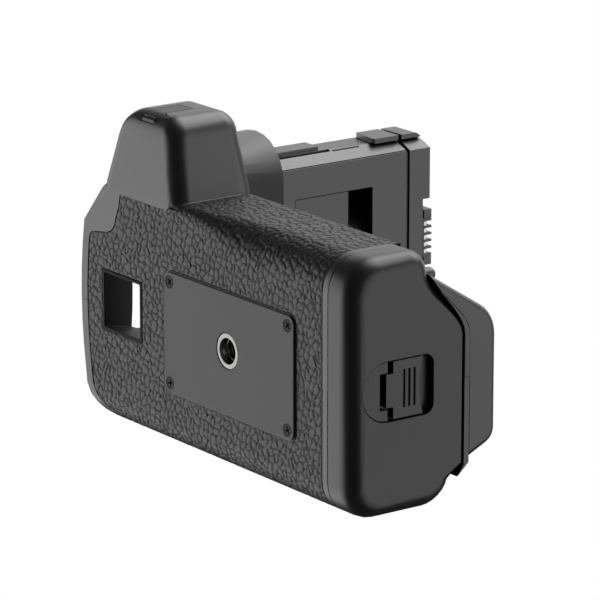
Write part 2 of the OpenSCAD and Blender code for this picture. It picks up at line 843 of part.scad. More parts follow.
module power_lever() {
    color("#242424") at_cheek() difference() {
        union() {
            translate([0, 0, lever_low]) cylinder(h = lever_t, r = lever_r);
            translate([-lever_r + gap, -lever_tab[1] / 2, lever_low + lever_t - cut]) cube(lever_tab);
        }
        translate([0, 0, lever_low - cut]) cylinder(h = 2 * lever_t, r = button_r + gap);
    }
}

// Collar above the hump, inset by i
collar_sunk = 5;
collar_low_in = 3;
collar_back = 10;
collar_low_r = 6;
module collar_form(i) {
    hull() {
        translate([0, 0, front_h - collar_sunk]) linear_extrude(cut) polygon(round_rect(
            -hump_left + collar_low_in + i, -collar_front_low + i, -collar_right_low - i, -collar_back,
            collar_low_r - i));
        translate([0, 0, top_h - cut - i]) linear_extrude(cut) polygon(round_rect(
            -body_left + cover_step + 1 + i, -collar_front + i, -collar_right_top - i, -collar_back,
            collar_r - i));
    }
}

// Feet of the upper cover, sunk past the faces it stands on
cover_sunk = 6;
cover_front_sunk = 2;
module upper_cover() {
    color("#474747") difference() {
        union() {
            intersection() {
                loft(cover_rings());
                left_bound(cover_step, top_h + cut);
            }
            collar_form(0);
            translate([peg_x, peg_y, front_h]) cylinder(h = top_h - peg_r - front_h, r = peg_r);
            translate([peg_x, peg_y, top_h - peg_r]) sphere(r = peg_r);
        }
        lower_form(deck_h, 0, -far, body_right + 1);
        loft(hump_rings(-inlay_gap));
        intersection() {
            along_x(-far, body_right - wall) polygon(cover_profile(wall));
            left_bound(cover_step + wall, top_h);
        }
        collar_form(wall);
        translate([0, screw_y, deck_h - cut])
            cylinder(h = cover_in_z - deck_h + cut, r = wheel_r + wheel_room);
        translate([0, screw_y, deck_h]) cylinder(h = far, r = neck_r + run_gap);
        at_cover_screws() translate([0, 0, top_h]) mirror([0, 0, 1])
            countersunk(cover_head_r, cover_shank_r + inlay_gap, 2 * wall);
        translate([0, 0, cover_in_z - cut]) linear_extrude(far) polygon(insert_plan(-inlay_gap));
    }
}

module cover_screws() {
    color("#202020") at_cover_screws() translate([0, 0, top_h]) mirror([0, 0, 1])
        countersunk(cover_head_r, cover_shank_r, cover_screw_l);
}

module mounting_screw() {
    color("silver") translate([0, screw_y, 0]) union() {
        translate([0, 0, wheel_z0 - clip_t]) cylinder(h = wheel_t + clip_t, r = hub_r);
        translate([0, 0, wheel_z1]) cylinder(h = top_h - neck_low - wheel_z1, r = neck_r);
        translate([0, 0, wheel_z1]) cylinder(h = top_h + stud_h - stud_tip - wheel_z1, r = stud_r);
        translate([0, 0, top_h + stud_h - stud_tip])
            cylinder(h = stud_tip, r1 = stud_r, r2 = stud_r - stud_tip);
    }
}

module thumb_wheel() {
    color("#2a2a2a") translate([0, screw_y, wheel_z0]) difference() {
        cylinder(h = wheel_t, r = wheel_r, $fn = 2 * wheel_teeth);
        translate([0, 0, -cut]) cylinder(h = wheel_t + 2 * cut, r = hub_r);
        for (k = [0:wheel_teeth - 1]) rotate([0, 0, 360 * k / wheel_teeth])
            translate([wheel_r + notch_out, 0, -cut]) cylinder(h = wheel_t + 2 * cut, r = notch_r, $fn = 6);
    }
}

module wheel_clip() {
    color("gray") translate([0, screw_y, wheel_z0 - clip_t]) difference() {
        cylinder(h = clip_t, r = clip_r);
        translate([0, 0, -cut]) cylinder(h = 1, r = hub_r);
    }
}

// Cover plate of the insert as a solid slab, grown by e at its front edge
module tower_slab(e) {
    box([-insert_near - side_t, -insert_front + bevel_y - e, cover_in_z],
        [-insert_near, insert_rear, frame_z1]);
}

// Raised block on the front of the insert, with a slanted lower end
module block(z0, z1, slant) {
    near = -insert_near - bevel_x + block_near;
    along_y(-insert_front - block_t, -insert_front + cut) polygon([[insert_x0, z0 + slant],
        [near - 1, z0], [near, z0 + slant / 4], [near, z1], [insert_x0, z1]]);
}

module tower_frame() {
    y = -insert_front;
    color("#1e1e1e") difference() {
        union() {
            translate([0, 0, cover_in_z - cut])
                linear_extrude(frame_z1 - cover_in_z + cut) polygon(insert_plan(0));
            translate([0, 0, frame_z1]) linear_extrude(groove_h) polygon(insert_plan(groove_deep));
            box([insert_x0 - foot_out, y, cover_in_z - foot_t],
                [-insert_near - foot_near, insert_rear + foot_out, cover_in_z]);
            box([insert_x0, y - rail_t, top_h + inlay_gap],
                [insert_x0 + ledge_near, y + cut, top_h + rail_h]);
            block(frame_z1 - block_low, frame_z1, block_slant);
        }
        tower_slab(side_gap);
        box([insert_x0 + side_t, y + bevel_y + groove_deep, cover_in_z - 2 * foot_t],
            [-insert_near - side_t, insert_rear - side_t, frame_z1 - side_t]);
        box([-insert_near - slot_x - slot_w, y - 2 * rail_t, top_h + 1],
            [-insert_near - slot_x, y + slot_deep, top_h + slot_h]);
        box([-insert_near - bevel_x + slit_w, y - cut, top_h + slit_z],
            [-insert_near - bevel_x + 2 * slit_w, y + slit_deep, top_h + slit_z + slit_h]);
    }
}

module tower_side() {
    y = -insert_front;
    x = -insert_near;
    color("#262626") difference() {
        tower_slab(0);
        box([x - 2 * side_t, y + window_top, top_h + window_z],
            [x + cut, y + window_top + window_w, top_h + window_z + window_h]);
        box([x - 2 * side_t, y + window2_y, top_h + window2_z],
            [x + cut, y + window2_y + window2_w, top_h + window2_z + window2_h]);
        box([x - panel_deep, y + window_top, top_h + panel_z],
            [x + cut, y + window_top + window_w, top_h + window_z + cut]);
    }
}

module tower_head() {
    y = -insert_front - block_t;
    color("#1e1e1e") difference() {
        intersection() {
            union() {
                translate([0, 0, head_z0]) linear_extrude(head_h) polygon(insert_plan(0));
                block(head_z0, insert_top, 0);
            }
            along_x(-far, 0) polygon(concat(
                [[y, head_z0], [insert_rear, head_z0], [insert_rear, insert_top]],
                arc([y + head_r, insert_top - head_r], head_r, 90, 180)));
        }
        box([-far, comb_y0 - comb_notch, comb_z], [0, far, far]);
    }
}

module contact_comb() {
    color("#181818") union() {
        box([comb_x0, comb_y0, comb_z], [comb_x1, insert_rear, comb_z + comb_floor]);
        for (y = [comb_y0, insert_rear - jaw])
            box([comb_x0, y, comb_z], [comb_x1, y + jaw, comb_z + jaw_h]);
        for (k = [0:blade_count]) translate([0, comb_y0 + jaw + k * rib_pitch, 0]) {
            box([comb_x0, 0, comb_z], [comb_x1, rib_t, comb_z + jaw_h - rib_t / 2]);
            translate([comb_x0, rib_t / 2, comb_z + jaw_h - rib_t / 2]) rotate([0, 90, 0])
                cylinder(h = comb_x1 - comb_x0, r = rib_t / 2, $fn = 12);
        }
    }
}

module contact_blades() {
    z = comb_z + comb_floor;
    color("#c8c0a0") for (k = [0:blade_count - 1])
        translate([0, comb_y0 + jaw + (k + 0.5) * rib_pitch + rib_t / 2, 0]) {
            box([comb_x0 + blade_in, -blade_t / 2, z], [comb_x1 - blade_in, blade_t / 2, z + blade_h]);
            box([comb_x0 + blade_in, -rib_pitch / 2 + rib_t, z],
                [comb_x1, rib_pitch / 2 - rib_t, z + blade_foot]);
        }
}

module tower_lead() {
    color("#b06020") box([lead_x - lead_t, lead_y, deck_h], [lead_x, lead_y + lead_w, frame_z1 - side_t]);
}

// Room inside the shells, drawn in by e
module cavity(e, x0, x1) {
    along_x(x0, x1) polygon(lower_profile(deck_h + skin_t, shell_in + e));
}

module battery_bay() {
    y0 = tray_y - tray_w / 2 - gap;
    y1 = tray_y + tray_w / 2 + gap;
    z0 = tray_z0 - gap;
    x0 = -bay_end - bay_end_t;
    color("#333333") difference() {
        union() {
            intersection() {
                box([x0, y0 - bay_wall, z0 - bay_floor_t], [cap_plane, y1 + bay_wall, roof_z]);
                cavity(0, x0, cap_plane);
            }
            cavity(0, cap_plane - bay_rim, cap_plane);
        }
        intersection() {
            box([-bay_end, y0, z0], [far, y1, tray_z1 + gap]);
            cavity(tray_gap, -bay_end, far);
        }
        box([-bay_end, y0 + bay_rail, tray_z1], [cap_plane - bay_rim, y1 - bay_rail, far]);
    }
}

// Middle height of a battery in the lower or the upper row
function cell_z(row) = tray_z0 + cell_h / 2 + row * (cell_h + tray_wall);

module bay_contacts() {
    d = bay_contact;
    color("#c8b060") for (row = [0, 1], side = [-1, 1])
        translate([-bay_end, tray_y + side * bay_contact_y - d[1] / 2, cell_z(row) - d[2] / 2]) cube(d);
}

module magazine_tray() {
    y0 = tray_y - tray_w / 2;
    y1 = tray_y + tray_w / 2;
    front = cap_plane + gap / 2;
    x0 = -tray_end + tray_end_t;
    color("#2c2c2c") difference() {
        intersection() {
            box([-tray_end, y0, tray_z0], [front, y1, tray_z1]);
            cavity(tray_gap + gap, -tray_end, far);
        }
        box([x0, y0 + tray_wall, -cut], [front - front_t, y1 - tray_wall, web_z]);
        box([x0, y0 + tray_wall, web_z + tray_wall], [front - front_t, y1 - tray_wall, far]);
        for (row = [0, 1]) translate([-tray_end, tray_y, cell_z(row)])
            box([-cut, -tray_window_w / 2, -tray_window_h / 2],
                [tray_end_t + cut, tray_window_w / 2, tray_window_h / 2]);
        at_cap_screws() countersunk(cap_head_r, cap_shank_r, cap_screw_l);
    }
}

// Places of the screws that join the magazine to its cap, with Z pointing out of the cap
module at_cap_screws() {
    for (y = [tray_y - cap_screw_y, tray_y + cap_screw_y])
        translate([cap_plane + gap / 2 - front_t, y, cell_z(0)]) rotate([0, 90, 0]) children();
}

module magazine_cap() {
    color("#454545") difference() {
        loft(cap_rings());
        difference() {
            along_x(cap_plane, latch_back) polygon(lower_profile(cap_h, cap_wall));
            at_cap_screws() cylinder(h = far, r = cap_post_r);
        }
        along_x(latch_floor, body_right + cut) polygon(latch_plan(0));
        box([latch_back - cut, latch_y - stem_half - gap, stem_z0 - latch_travel - gap],
            [body_right, latch_y + stem_half + gap, stem_z0 + stem_h + gap]);
        box([bolt_x1 - bolt_t - gap, latch_y - nose_half - gap, bolt_z1],
            [bolt_x1 + gap, latch_y + nose_half + gap, cap_h + 1]);
        at_cap_screws() cylinder(h = cap_screw_l + gap, r = cap_shank_r);
    }
}

module cap_screws() {
    color("gray") at_cap_screws() countersunk(cap_head_r, cap_shank_r, cap_screw_l);
}

module latch_guide() {
    color("#404040") along_x(latch_floor, body_right - guide_sunk) difference() {
        intersection() {
            polygon(latch_plan(latch_fit));
            translate([-far, 0]) square([2 * far, guide_z]);
        }
        translate([latch_y - guide_slot, guide_z - guide_slot_h]) square([2 * guide_slot, 2 * guide_slot_h]);
    }
}

module latch_slider() {
    tongue_half = guide_slot - tongue_gap;
    color("#3c3c3c") union() {
        difference() {
            along_x(latch_floor + gap, body_right - slider_sunk) union() {
                difference() {
                    intersection() {
                        polygon(latch_plan(2 * latch_fit));
                        translate([-far, slider_z]) square([2 * far, slider_top - slider_z]);
                    }
                    translate([latch_y, slider_top - 1 + dip_r]) circle(r = dip_r);
                }
                translate([latch_y - tongue_half, slider_z - tongue_h])
                    square([2 * tongue_half, tongue_h + 1]);
            }
            for (k = [0:2]) translate([0, 0, slider_z + grip_low + k * groove_pitch])
                box([body_right - slider_sunk - grip_deep, latch_y - grip_half, 0],
                    [body_right, latch_y + grip_half, grip_w]);
        }
        box([bolt_x1 - cut, latch_y - stem_half, stem_z0],
            [latch_floor + gap + cut, latch_y + stem_half, stem_z0 + stem_h]);
        box([bolt_x1 - bolt_t, latch_y - bolt_half, bolt_z0], [bolt_x1, latch_y + bolt_half, bolt_z1]);
        box([bolt_x1 - bolt_t, latch_y - nose_half, bolt_z1 - 1],
            [bolt_x1, latch_y + nose_half, cap_h - nose_low]);
        box([bolt_x1 - spring_seat, latch_y - bolt_half, bolt_z0 - 1],
            [bolt_x1, latch_y + bolt_half, bolt_z0 - 1 + spring_seat_t]);
    }
}

module latch_spring() {
    low = base_z + cap_wall;
    color("silver") translate([bolt_x1 - spring_x, latch_y, low]) difference() {
        cylinder(h = bolt_z0 - 1 - low, r = spring_r);
        translate([0, 0, -cut]) cylinder(h = bolt_z0, r = spring_bore);
    }
}

front_shell();
rear_shell();
grip_skin();
strap_liner();
tripod_plate();
plate_screws();
tripod_socket();
port_cover();
cable_jack();
circuit_board();
release_switch();
upper_cover();
cover_screws();
mounting_screw();
thumb_wheel();
wheel_clip();
tower_frame();
tower_side();
tower_head();
contact_comb();
contact_blades();
tower_lead();
battery_bay();
bay_contacts();
magazine_tray();
magazine_cap();
cap_screws();
latch_guide();
latch_slider();
latch_spring();
shutter_button();
power_lever();
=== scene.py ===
"""Finishes of a camera battery grip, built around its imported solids.

Upright frame in metres: +Z towards the camera, -Y to the front, +X to the magazine end.
"""

import json
import math

import bmesh
import bpy
import numpy as np
from bpy.props import FloatProperty, FloatVectorProperty, PointerProperty
from mathutils import Matrix, Vector
from mathutils.geometry import delaunay_2d_cdt

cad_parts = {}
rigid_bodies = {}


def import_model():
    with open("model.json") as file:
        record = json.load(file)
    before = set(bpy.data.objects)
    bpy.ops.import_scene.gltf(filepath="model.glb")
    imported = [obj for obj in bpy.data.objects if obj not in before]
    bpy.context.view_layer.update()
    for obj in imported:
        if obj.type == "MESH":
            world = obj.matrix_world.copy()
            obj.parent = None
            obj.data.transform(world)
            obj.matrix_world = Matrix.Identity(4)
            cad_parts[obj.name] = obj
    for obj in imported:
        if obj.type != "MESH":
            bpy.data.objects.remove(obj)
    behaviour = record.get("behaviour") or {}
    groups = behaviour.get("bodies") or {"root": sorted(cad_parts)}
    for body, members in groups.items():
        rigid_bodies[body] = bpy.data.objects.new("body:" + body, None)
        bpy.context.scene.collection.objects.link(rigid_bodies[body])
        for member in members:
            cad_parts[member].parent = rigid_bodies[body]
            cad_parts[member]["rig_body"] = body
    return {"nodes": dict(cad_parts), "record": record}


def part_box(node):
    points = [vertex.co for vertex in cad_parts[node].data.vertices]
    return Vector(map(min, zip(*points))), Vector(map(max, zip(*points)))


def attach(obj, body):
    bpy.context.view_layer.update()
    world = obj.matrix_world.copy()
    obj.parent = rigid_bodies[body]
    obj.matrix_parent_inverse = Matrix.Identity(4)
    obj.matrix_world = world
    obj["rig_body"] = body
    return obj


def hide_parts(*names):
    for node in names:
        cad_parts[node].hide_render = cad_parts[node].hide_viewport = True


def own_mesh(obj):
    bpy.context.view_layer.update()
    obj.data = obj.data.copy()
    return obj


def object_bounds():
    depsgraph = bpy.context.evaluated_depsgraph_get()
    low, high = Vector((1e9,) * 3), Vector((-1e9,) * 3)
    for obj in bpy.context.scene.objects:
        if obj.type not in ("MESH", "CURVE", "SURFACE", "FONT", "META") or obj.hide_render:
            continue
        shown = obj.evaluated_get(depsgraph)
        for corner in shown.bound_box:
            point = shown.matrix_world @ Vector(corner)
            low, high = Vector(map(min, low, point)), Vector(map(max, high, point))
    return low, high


bl_info = {
    "name": "Battery grip finishes",
    "version": (1, 0, 0),
    "blender": (4, 5, 0),
    "location": "View3D > Sidebar > Grip",
    "description": "Dresses the solids of a camera battery grip",
    "category": "Object",
}

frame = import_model()
CAD_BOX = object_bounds()
NODES = frame["nodes"]
MM = 0.001
DRAWN_STEP = 0.025
QUARTER = math.pi / 2
MERGE = 0.002 * MM
LEVEL = 0.003 * MM
FOLDED = -0.999
EDGE_ANGLE, SHADE_ANGLE = 33, 21


def drawn(length):
    """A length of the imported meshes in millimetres, to the step in which the solids were drawn."""
    return round(float(length) / MM / DRAWN_STEP) * DRAWN_STEP


def box(node):
    """Lowest and highest corner of a solid, in millimetres."""
    return [[drawn(c) for c in corner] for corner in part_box(node)]


def middle(node):
    """Centre of a solid's box, in millimetres."""
    return [(low + high) / 2 for low, high in zip(*box(node))]


# Node trees


class Wire:
    """One output of a node tree, so that shader maths reads as an expression."""

    def __init__(self, graph, socket):
        self.graph = graph
        self.socket = socket

    def maths(self, operation, first, second):
        return self.graph.node("ShaderNodeMath", {0: first, 1: second}, operation=operation)

    def __add__(self, other):
        return self.maths("ADD", self, other)

    def __radd__(self, other):
        return self.maths("ADD", other, self)

    def __sub__(self, other):
        return self.maths("SUBTRACT", self, other)

    def __rsub__(self, other):
        return self.maths("SUBTRACT", other, self)

    def __mul__(self, other):
        return self.maths("MULTIPLY", self, other)

    def __rmul__(self, other):
        return self.maths("MULTIPLY", other, self)

    def __pow__(self, other):
        return self.maths("POWER", self, other)

    def most(self, other):
        return self.maths("MAXIMUM", self, other)


class Graph:
    """A node tree that is emptied and built up by calls."""

    def __init__(self, tree):
        self.tree = tree
        tree.nodes.clear()

    def feed(self, socket, value):
        if isinstance(value, Wire):
            self.tree.links.new(value.socket, socket)
        elif value is not None:
            socket.default_value = value

    def node(self, kind, inputs=None, out=0, **settings):
        made = self.tree.nodes.new(kind)
        for key, value in settings.items():
            setattr(made, key, value)
        for key, value in (inputs or {}).items():
            self.feed(made.inputs[key], value)
        return Wire(self, made.outputs[out]) if made.outputs else None

    def place(self):
        return self.node("ShaderNodeTexCoord", out="Object")

    def noise(self, vector, scale, detail=2.0, rough=0.5):
        return self.node(
            "ShaderNodeTexNoise",
            {"Vector": vector, "Scale": scale, "Detail": detail, "Roughness": rough},
        )

    def stretched(self, vector, scale):
        return self.node("ShaderNodeMapping", {"Vector": vector, "Scale": scale})

    def between(self, value, low, high, to_low=0.0, to_high=1.0):
        inputs = {"Value": value, "From Min": low, "From Max": high, "To Min": to_low, "To Max": to_high}
        return self.node("ShaderNodeMapRange", inputs, interpolation_type="SMOOTHSTEP")

    def mix(self, factor, first, second):
        inputs = {"Factor": factor, 6: first, 7: second}
        return self.node("ShaderNodeMix", inputs, out=2, data_type="RGBA")

    def bump(self, height, distance):
        return self.node("ShaderNodeBump", {"Height": height, "Distance": distance, "Strength": 1.0})

    def principled(self, **inputs):
        named = {key.replace("_", " ").title().replace("Ior", "IOR"): value for key, value in inputs.items()}
        shader = self.node("ShaderNodeBsdfPrincipled", named, out="BSDF")
        self.node("ShaderNodeOutputMaterial", {"Surface": shader})


def grey(level):
    return (level, level, level, 1.0)


def material(name, paint):
    """A node material, painted once by the function given for it."""
    found = bpy.data.materials.get(name)
    if found is None:
        found = bpy.data.materials.new(name)
        found.use_nodes = True
        paint(Graph(found.node_tree))
    return found


# Finishes


def moulded(level, rough, pit=0.02, pit_size=0.3, shine=0.5):
    """Spark-textured plastic: fine pits, and a slow change of sheen."""

    def paint(g):
        place = g.place()
        fine = g.noise(place, 1 / (pit_size * MM), 3.0, 0.6)
        slow = g.noise(place, 1 / (16 * MM), 2.0)
        colour = g.mix(slow, grey(level * 0.88), grey(level * 1.12))
        g.principled(
            base_color=colour,
            roughness=rough - 0.03 + slow * 0.06 + fine * 0.04,
            specular_ior_level=shine,
            normal=g.bump(fine, pit * MM),
        )

    return paint


def skin_rubber(level, rough):
    """Rubber whose creases, kept as an attribute of the mesh, are duller and carry painted shade that
    darkens them.
    """

    def paint(g):
        place = g.place()
        crease = g.node("ShaderNodeAttribute", out="Fac", attribute_name="crease")
        fine = g.noise(place, 1 / (0.35 * MM), 3.0, 0.65)
        slow = g.noise(place, 1 / (22 * MM), 2.0)
        # Painted shade: the colour darkens towards black in the creases, times a slow random change of tone.
        crease_shade_and_tone = (crease * -0.7 + 1.0) * (slow * 0.3 + 0.85)
        colour = g.mix(crease_shade_and_tone, grey(level * 0.1), grey(level))
        g.principled(
            base_color=colour,
            roughness=crease * 0.25 + fine * 0.1 + (rough - 0.05),
            normal=g.bump(fine, 0.03 * MM),
        )

    return paint


def plate_paint(level, rough):
    """Satin paint on a plate that was brushed lengthwise."""

    def paint(g):
        place = g.place()
        streak = g.noise(g.stretched(place, (30.0, 2600.0, 2600.0)), 1.0, 3.0, 0.6)
        fine = g.noise(place, 1 / (0.4 * MM), 2.0)
        slow = g.noise(place, 1 / (18 * MM), 2.0)
        tone = slow * 0.5 + streak * 0.5
        g.principled(
            base_color=g.mix(tone, grey(level * 0.85), grey(level * 1.15)),
            roughness=rough - 0.06 + streak * 0.08 + slow * 0.04,
            normal=g.bump(streak * 0.6 + fine * 0.4, 0.012 * MM),
        )

    return paint


def plated(colour, rough):
    """Turned and plated metal."""

    def paint(g):
        place = g.place()
        fine = g.noise(place, 1 / (0.5 * MM), 3.0)
        slow = g.noise(place, 1 / (3 * MM), 2.0)
        darker = tuple(c * 0.75 for c in colour[:3]) + (1.0,)
        g.principled(
            base_color=g.mix(slow, darker, colour),
            metallic=1.0,
            roughness=rough - 0.05 + slow * 0.08 + fine * 0.04,
            normal=g.bump(fine, 0.006 * MM),
        )

    return paint


def coated(colour, rough):
    """Smooth coloured film or lacquer."""

    def paint(g):
        place = g.place()
        slow = g.noise(place, 1 / (5 * MM), 3.0)
        darker = tuple(c * 0.85 for c in colour[:3]) + (1.0,)
        g.principled(
            base_color=g.mix(slow, darker, colour),
            roughness=rough + slow * 0.1,
            normal=g.bump(slow, 0.01 * MM),
        )

    return paint


def finishes():
    """Every material of the grip by its short name."""
    kit = bpy.context.scene.grip_finish
    table = {
        "shell": moulded(kit.shell_level, kit.shell_rough, shine=1.0),
        "cap": moulded(kit.cap_level, kit.cap_rough, shine=0.7),
        "insert": moulded(kit.insert_level, kit.insert_rough, 0.008, 0.4, 1.0),
        "control": moulded(kit.insert_level, kit.insert_rough, 0.006, 0.4),
        # Liner plastic is near black with little sheen: partly the plastic's own black, partly painted shade
        # of the recesses and ducts it lines.
        "liner": moulded(0.003, 0.5, 0.006, 0.5, 0.12),
        "wheel": moulded(0.012, 0.45, 0.015, 0.3),
        "flap": moulded(kit.shell_level * 0.9, kit.shell_rough + 0.04, 0.015, 0.3),
        "skin": skin_rubber(kit.skin_level, kit.skin_rough),
        "plate": plate_paint(kit.plate_level, kit.plate_rough),
        "nickel": plated((0.36, 0.355, 0.34, 1.0), 0.27),
        "steel": plated((0.62, 0.62, 0.63, 1.0), 0.3),
        "contact": plated((0.80, 0.77, 0.68, 1.0), 0.28),
        "black_screw": plated((0.02, 0.02, 0.022, 1.0), 0.32),
        "board": coated((0.012, 0.09, 0.035, 1.0), 0.35),
        "lead": coated((0.36, 0.17, 0.04, 1.0), 0.3),
    }
    return {key: material("grip_" + key, paint) for key, paint in table.items()}


# Pieces


def link(mesh, name):
    made = bpy.data.objects.new(name, mesh)
    bpy.context.scene.collection.objects.link(made)
    return made


def settle(piece, node, finish):
    """Gives a finished piece its material and body, in place of its solid."""
    piece.data.materials.clear()
    piece.data.materials.append(finishes()[finish])
    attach(piece, NODES[node]["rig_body"])
    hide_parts(node)
    return piece


def baked(piece):
    """Turns an object's modifiers into a plain mesh."""
    graph = bpy.context.evaluated_depsgraph_get()
    mesh = bpy.data.meshes.new_from_object(piece.evaluated_get(graph))
    piece.modifiers.clear()
    old = piece.data
    piece.data = mesh
    bpy.data.meshes.remove(old)
    return piece


def smooth(mesh, angle):
    mesh.shade_smooth()
    mesh.set_sharp_from_angle(angle=math.radians(angle))


def refilled(work):
    """Fills afresh each flat face whose triangles fold back over one another."""
    work.normal_update()
    folds = [
        e for e in work.edges
        if len(e.link_faces) == 2 and e.link_faces[0].normal.dot(e.link_faces[1].normal) < FOLDED]
    for start in [fold.link_faces[0] for fold in folds]:
        if not start.is_valid:
            continue
        normal, origin = start.normal.copy(), start.verts[0].co.copy()
        group, todo = {start: None}, [start]
        while todo:
            for other in [f for e in todo.pop().edges for f in e.link_faces]:
                level = all(abs((v.co - origin).dot(normal)) < LEVEL for v in other.verts)
                if level and other not in group:
                    group[other] = None
                    todo.append(other)
        outward = sum((f.normal * f.calc_area() for f in group), Vector())
        edges = dict.fromkeys(e for f in group for e in f.edges)
        rim = [e for e in edges if sum(f in group for f in e.link_faces) == 1]
        bmesh.ops.delete(work, geom=list(group), context="FACES_KEEP_BOUNDARY")
        made = bmesh.ops.triangle_fill(work, use_beauty=True, edges=rim, normal=outward.normalized())
        for face in [f for f in made["geom"] if isinstance(f, bmesh.types.BMFace)]:
            face.normal_update()
            if face.normal.dot(outward) < 0:
                face.normal_flip()


def clean_copy(node, flat):
    """A merged copy of a solid's mesh, with its flat faces joined up if asked."""
    work = bmesh.new()
    work.from_mesh(NODES[node].data)
    bmesh.ops.remove_doubles(work, verts=work.verts, dist=MERGE)
    refilled(work)
    if flat:
        bmesh.ops.dissolve_limit(
            work, angle_limit=math.radians(0.6), verts=work.verts, edges=work.edges, delimit=set())
    return work


def dressed(node, name, finish, bevel, steps=2, flat=False):
    """A solid with its edges rounded as a mould leaves them."""
    work = clean_copy(node, flat)
    mesh = bpy.data.meshes.new(name)
    work.to_mesh(mesh)
    work.free()
    piece = link(mesh, name)
    rounding = piece.modifiers.new("edges", "BEVEL")
    rounding.width = bevel * MM
    rounding.segments = steps
    rounding.limit_method = "ANGLE"
    rounding.angle_limit = math.radians(EDGE_ANGLE)
    rounding.use_clamp_overlap = False
    rounding.miter_outer = "MITER_ARC"
    baked(piece)
    smooth(piece.data, SHADE_ANGLE)
    even = piece.modifiers.new("even", "WEIGHTED_NORMAL")
    even.keep_sharp = True
    baked(piece)
    return settle(piece, node, finish)


def turned(name, outline, centre=(0.0, 0.0), steps=64):
    """A mesh turned round an upright axis from a closed outline of radii and heights."""
    turns = np.linspace(0, 2 * math.pi, steps, endpoint=False)
    r, z = np.array(outline).T
    x = centre[0] + np.outer(np.cos(turns), r)
    y = centre[1] + np.outer(np.sin(turns), r)
    verts = np.stack([x, y, np.broadcast_to(z, x.shape)], 2).reshape(-1, 3) * MM
    count = len(outline)
    ring = np.arange(steps)[:, None] * count
    after = (ring + count) % (steps * count)
    here, there = np.arange(count), (np.arange(count) + 1) % count
    faces = np.stack([ring + here, after + here, after + there, ring + there], 2).reshape(-1, 4)
    work = bmesh.new()
    mesh = bpy.data.meshes.new(name)
    mesh.from_pydata(verts.tolist(), [], faces.tolist())
    work.from_mesh(mesh)
    bmesh.ops.remove_doubles(work, verts=work.verts, dist=MERGE)
    bmesh.ops.recalc_face_normals(work, faces=work.faces)
    work.to_mesh(mesh)
    work.free()
    smooth(mesh, 32)
    return link(mesh, name)


def places(name, points):
    """An object whose loose points say where its repeats go."""
    mesh = bpy.data.meshes.new(name)
    mesh.from_pydata([[c * MM for c in p] for p in points], [], [])
    return link(mesh, name)


def blocks(name, boxes, bevel):
    """Boxes with small rounded edges, from pairs of corners."""
    work = bmesh.new()
    for low, high in boxes:
        centre = [(a + b) / 2 * MM for a, b in zip(low, high)]
        size = [(b - a) * MM for a, b in zip(low, high)]
        bmesh.ops.create_cube(
            work, size=1.0, matrix=Matrix.Translation(centre) @ Matrix.Diagonal((*size, 1)))
    bmesh.ops.bevel(
        work, geom=work.edges[:], offset=bevel * MM, segments=2, profile=0.5, affect="EDGES",
        clamp_overlap=True)
    mesh = bpy.data.meshes.new(name)
    work.to_mesh(mesh)
    work.free()
    smooth(mesh, 40)
    return link(mesh, name)


# Repeats


SOCKETS = {float: "Float", int: "Int", tuple: "Vector"}
SCREW_SIDES = 40


def grown(piece, title, finish, sizes, build):
    """Adds to a piece what a geometry tree makes from named sizes, and turns it into a plain mesh."""
    tree = bpy.data.node_groups.new(title, "GeometryNodeTree")
    tree.interface.new_socket("Geometry", in_out="INPUT", socket_type="NodeSocketGeometry")
    for key, value in sizes.items():
        tree.interface.new_socket(key, in_out="INPUT", socket_type="NodeSocket" + SOCKETS[type(value)])
    tree.interface.new_socket("Finish", in_out="INPUT", socket_type="NodeSocketMaterial")
    tree.interface.new_socket("Geometry", in_out="OUTPUT", socket_type="NodeSocketGeometry")
    g = Graph(tree)
    given = tree.nodes.new("NodeGroupInput")
    wires = {socket.name: Wire(g, socket) for socket in given.outputs if socket.name}
    real = g.node("GeometryNodeRealizeInstances", {"Geometry": build(g, wires)})
    painted = g.node("GeometryNodeSetMaterial", {"Geometry": real, "Material": wires["Finish"]})
    g.node("NodeGroupOutput", {0: painted})
    maker = piece.modifiers.new(title, "NODES")
    maker.node_group = tree
    values = dict(sizes, Finish=finishes()[finish])
    for item in tree.interface.items_tree:
        if item.in_out == "INPUT" and item.name in values:
            maker[item.identifier] = values[item.name]
    return baked(piece)


def joined(g, *parts):
    made = g.tree.nodes.new("GeometryNodeJoinGeometry")
    for part in parts:
        g.tree.links.new(part.socket, made.inputs[0])
    return Wire(g, made.outputs[0])


def vector(g, x=0.0, y=0.0, z=0.0):
    return g.node("ShaderNodeCombineXYZ", {0: x, 1: y, 2: z})


def moved(g, part, shift=None, turn=None):
    return g.node("GeometryNodeTransform", {"Geometry": part, "Translation": shift, "Rotation": turn})


def slab(g, outline, height):
    """A closed flat outline given thickness along Z."""
    flat = g.node("GeometryNodeFillCurve", {"Curve": outline})
    top = g.node("GeometryNodeExtrudeMesh", {"Mesh": flat, "Offset Scale": height, "Individual": False})
    under = g.node("GeometryNodeFlipFaces", {"Mesh": flat})
    return g.node("GeometryNodeMergeByDistance", {"Geometry": joined(g, top, under), "Distance": MERGE / 2})


def bar(g, width, height, corner, length):
    """A bar with rounded corners: width along Y, height along Z, length along X."""
    outline = g.node("GeometryNodeCurvePrimitiveQuadrilateral", {"Width": width, "Height": height})
    rounded = g.node(
        "GeometryNodeFilletCurve",
        {"Curve": outline, "Radius": corner, "Count": 4, "Limit Radius": True}, mode="POLY")
    return moved(g, slab(g, rounded, length), turn=(QUARTER, 0.0, QUARTER))


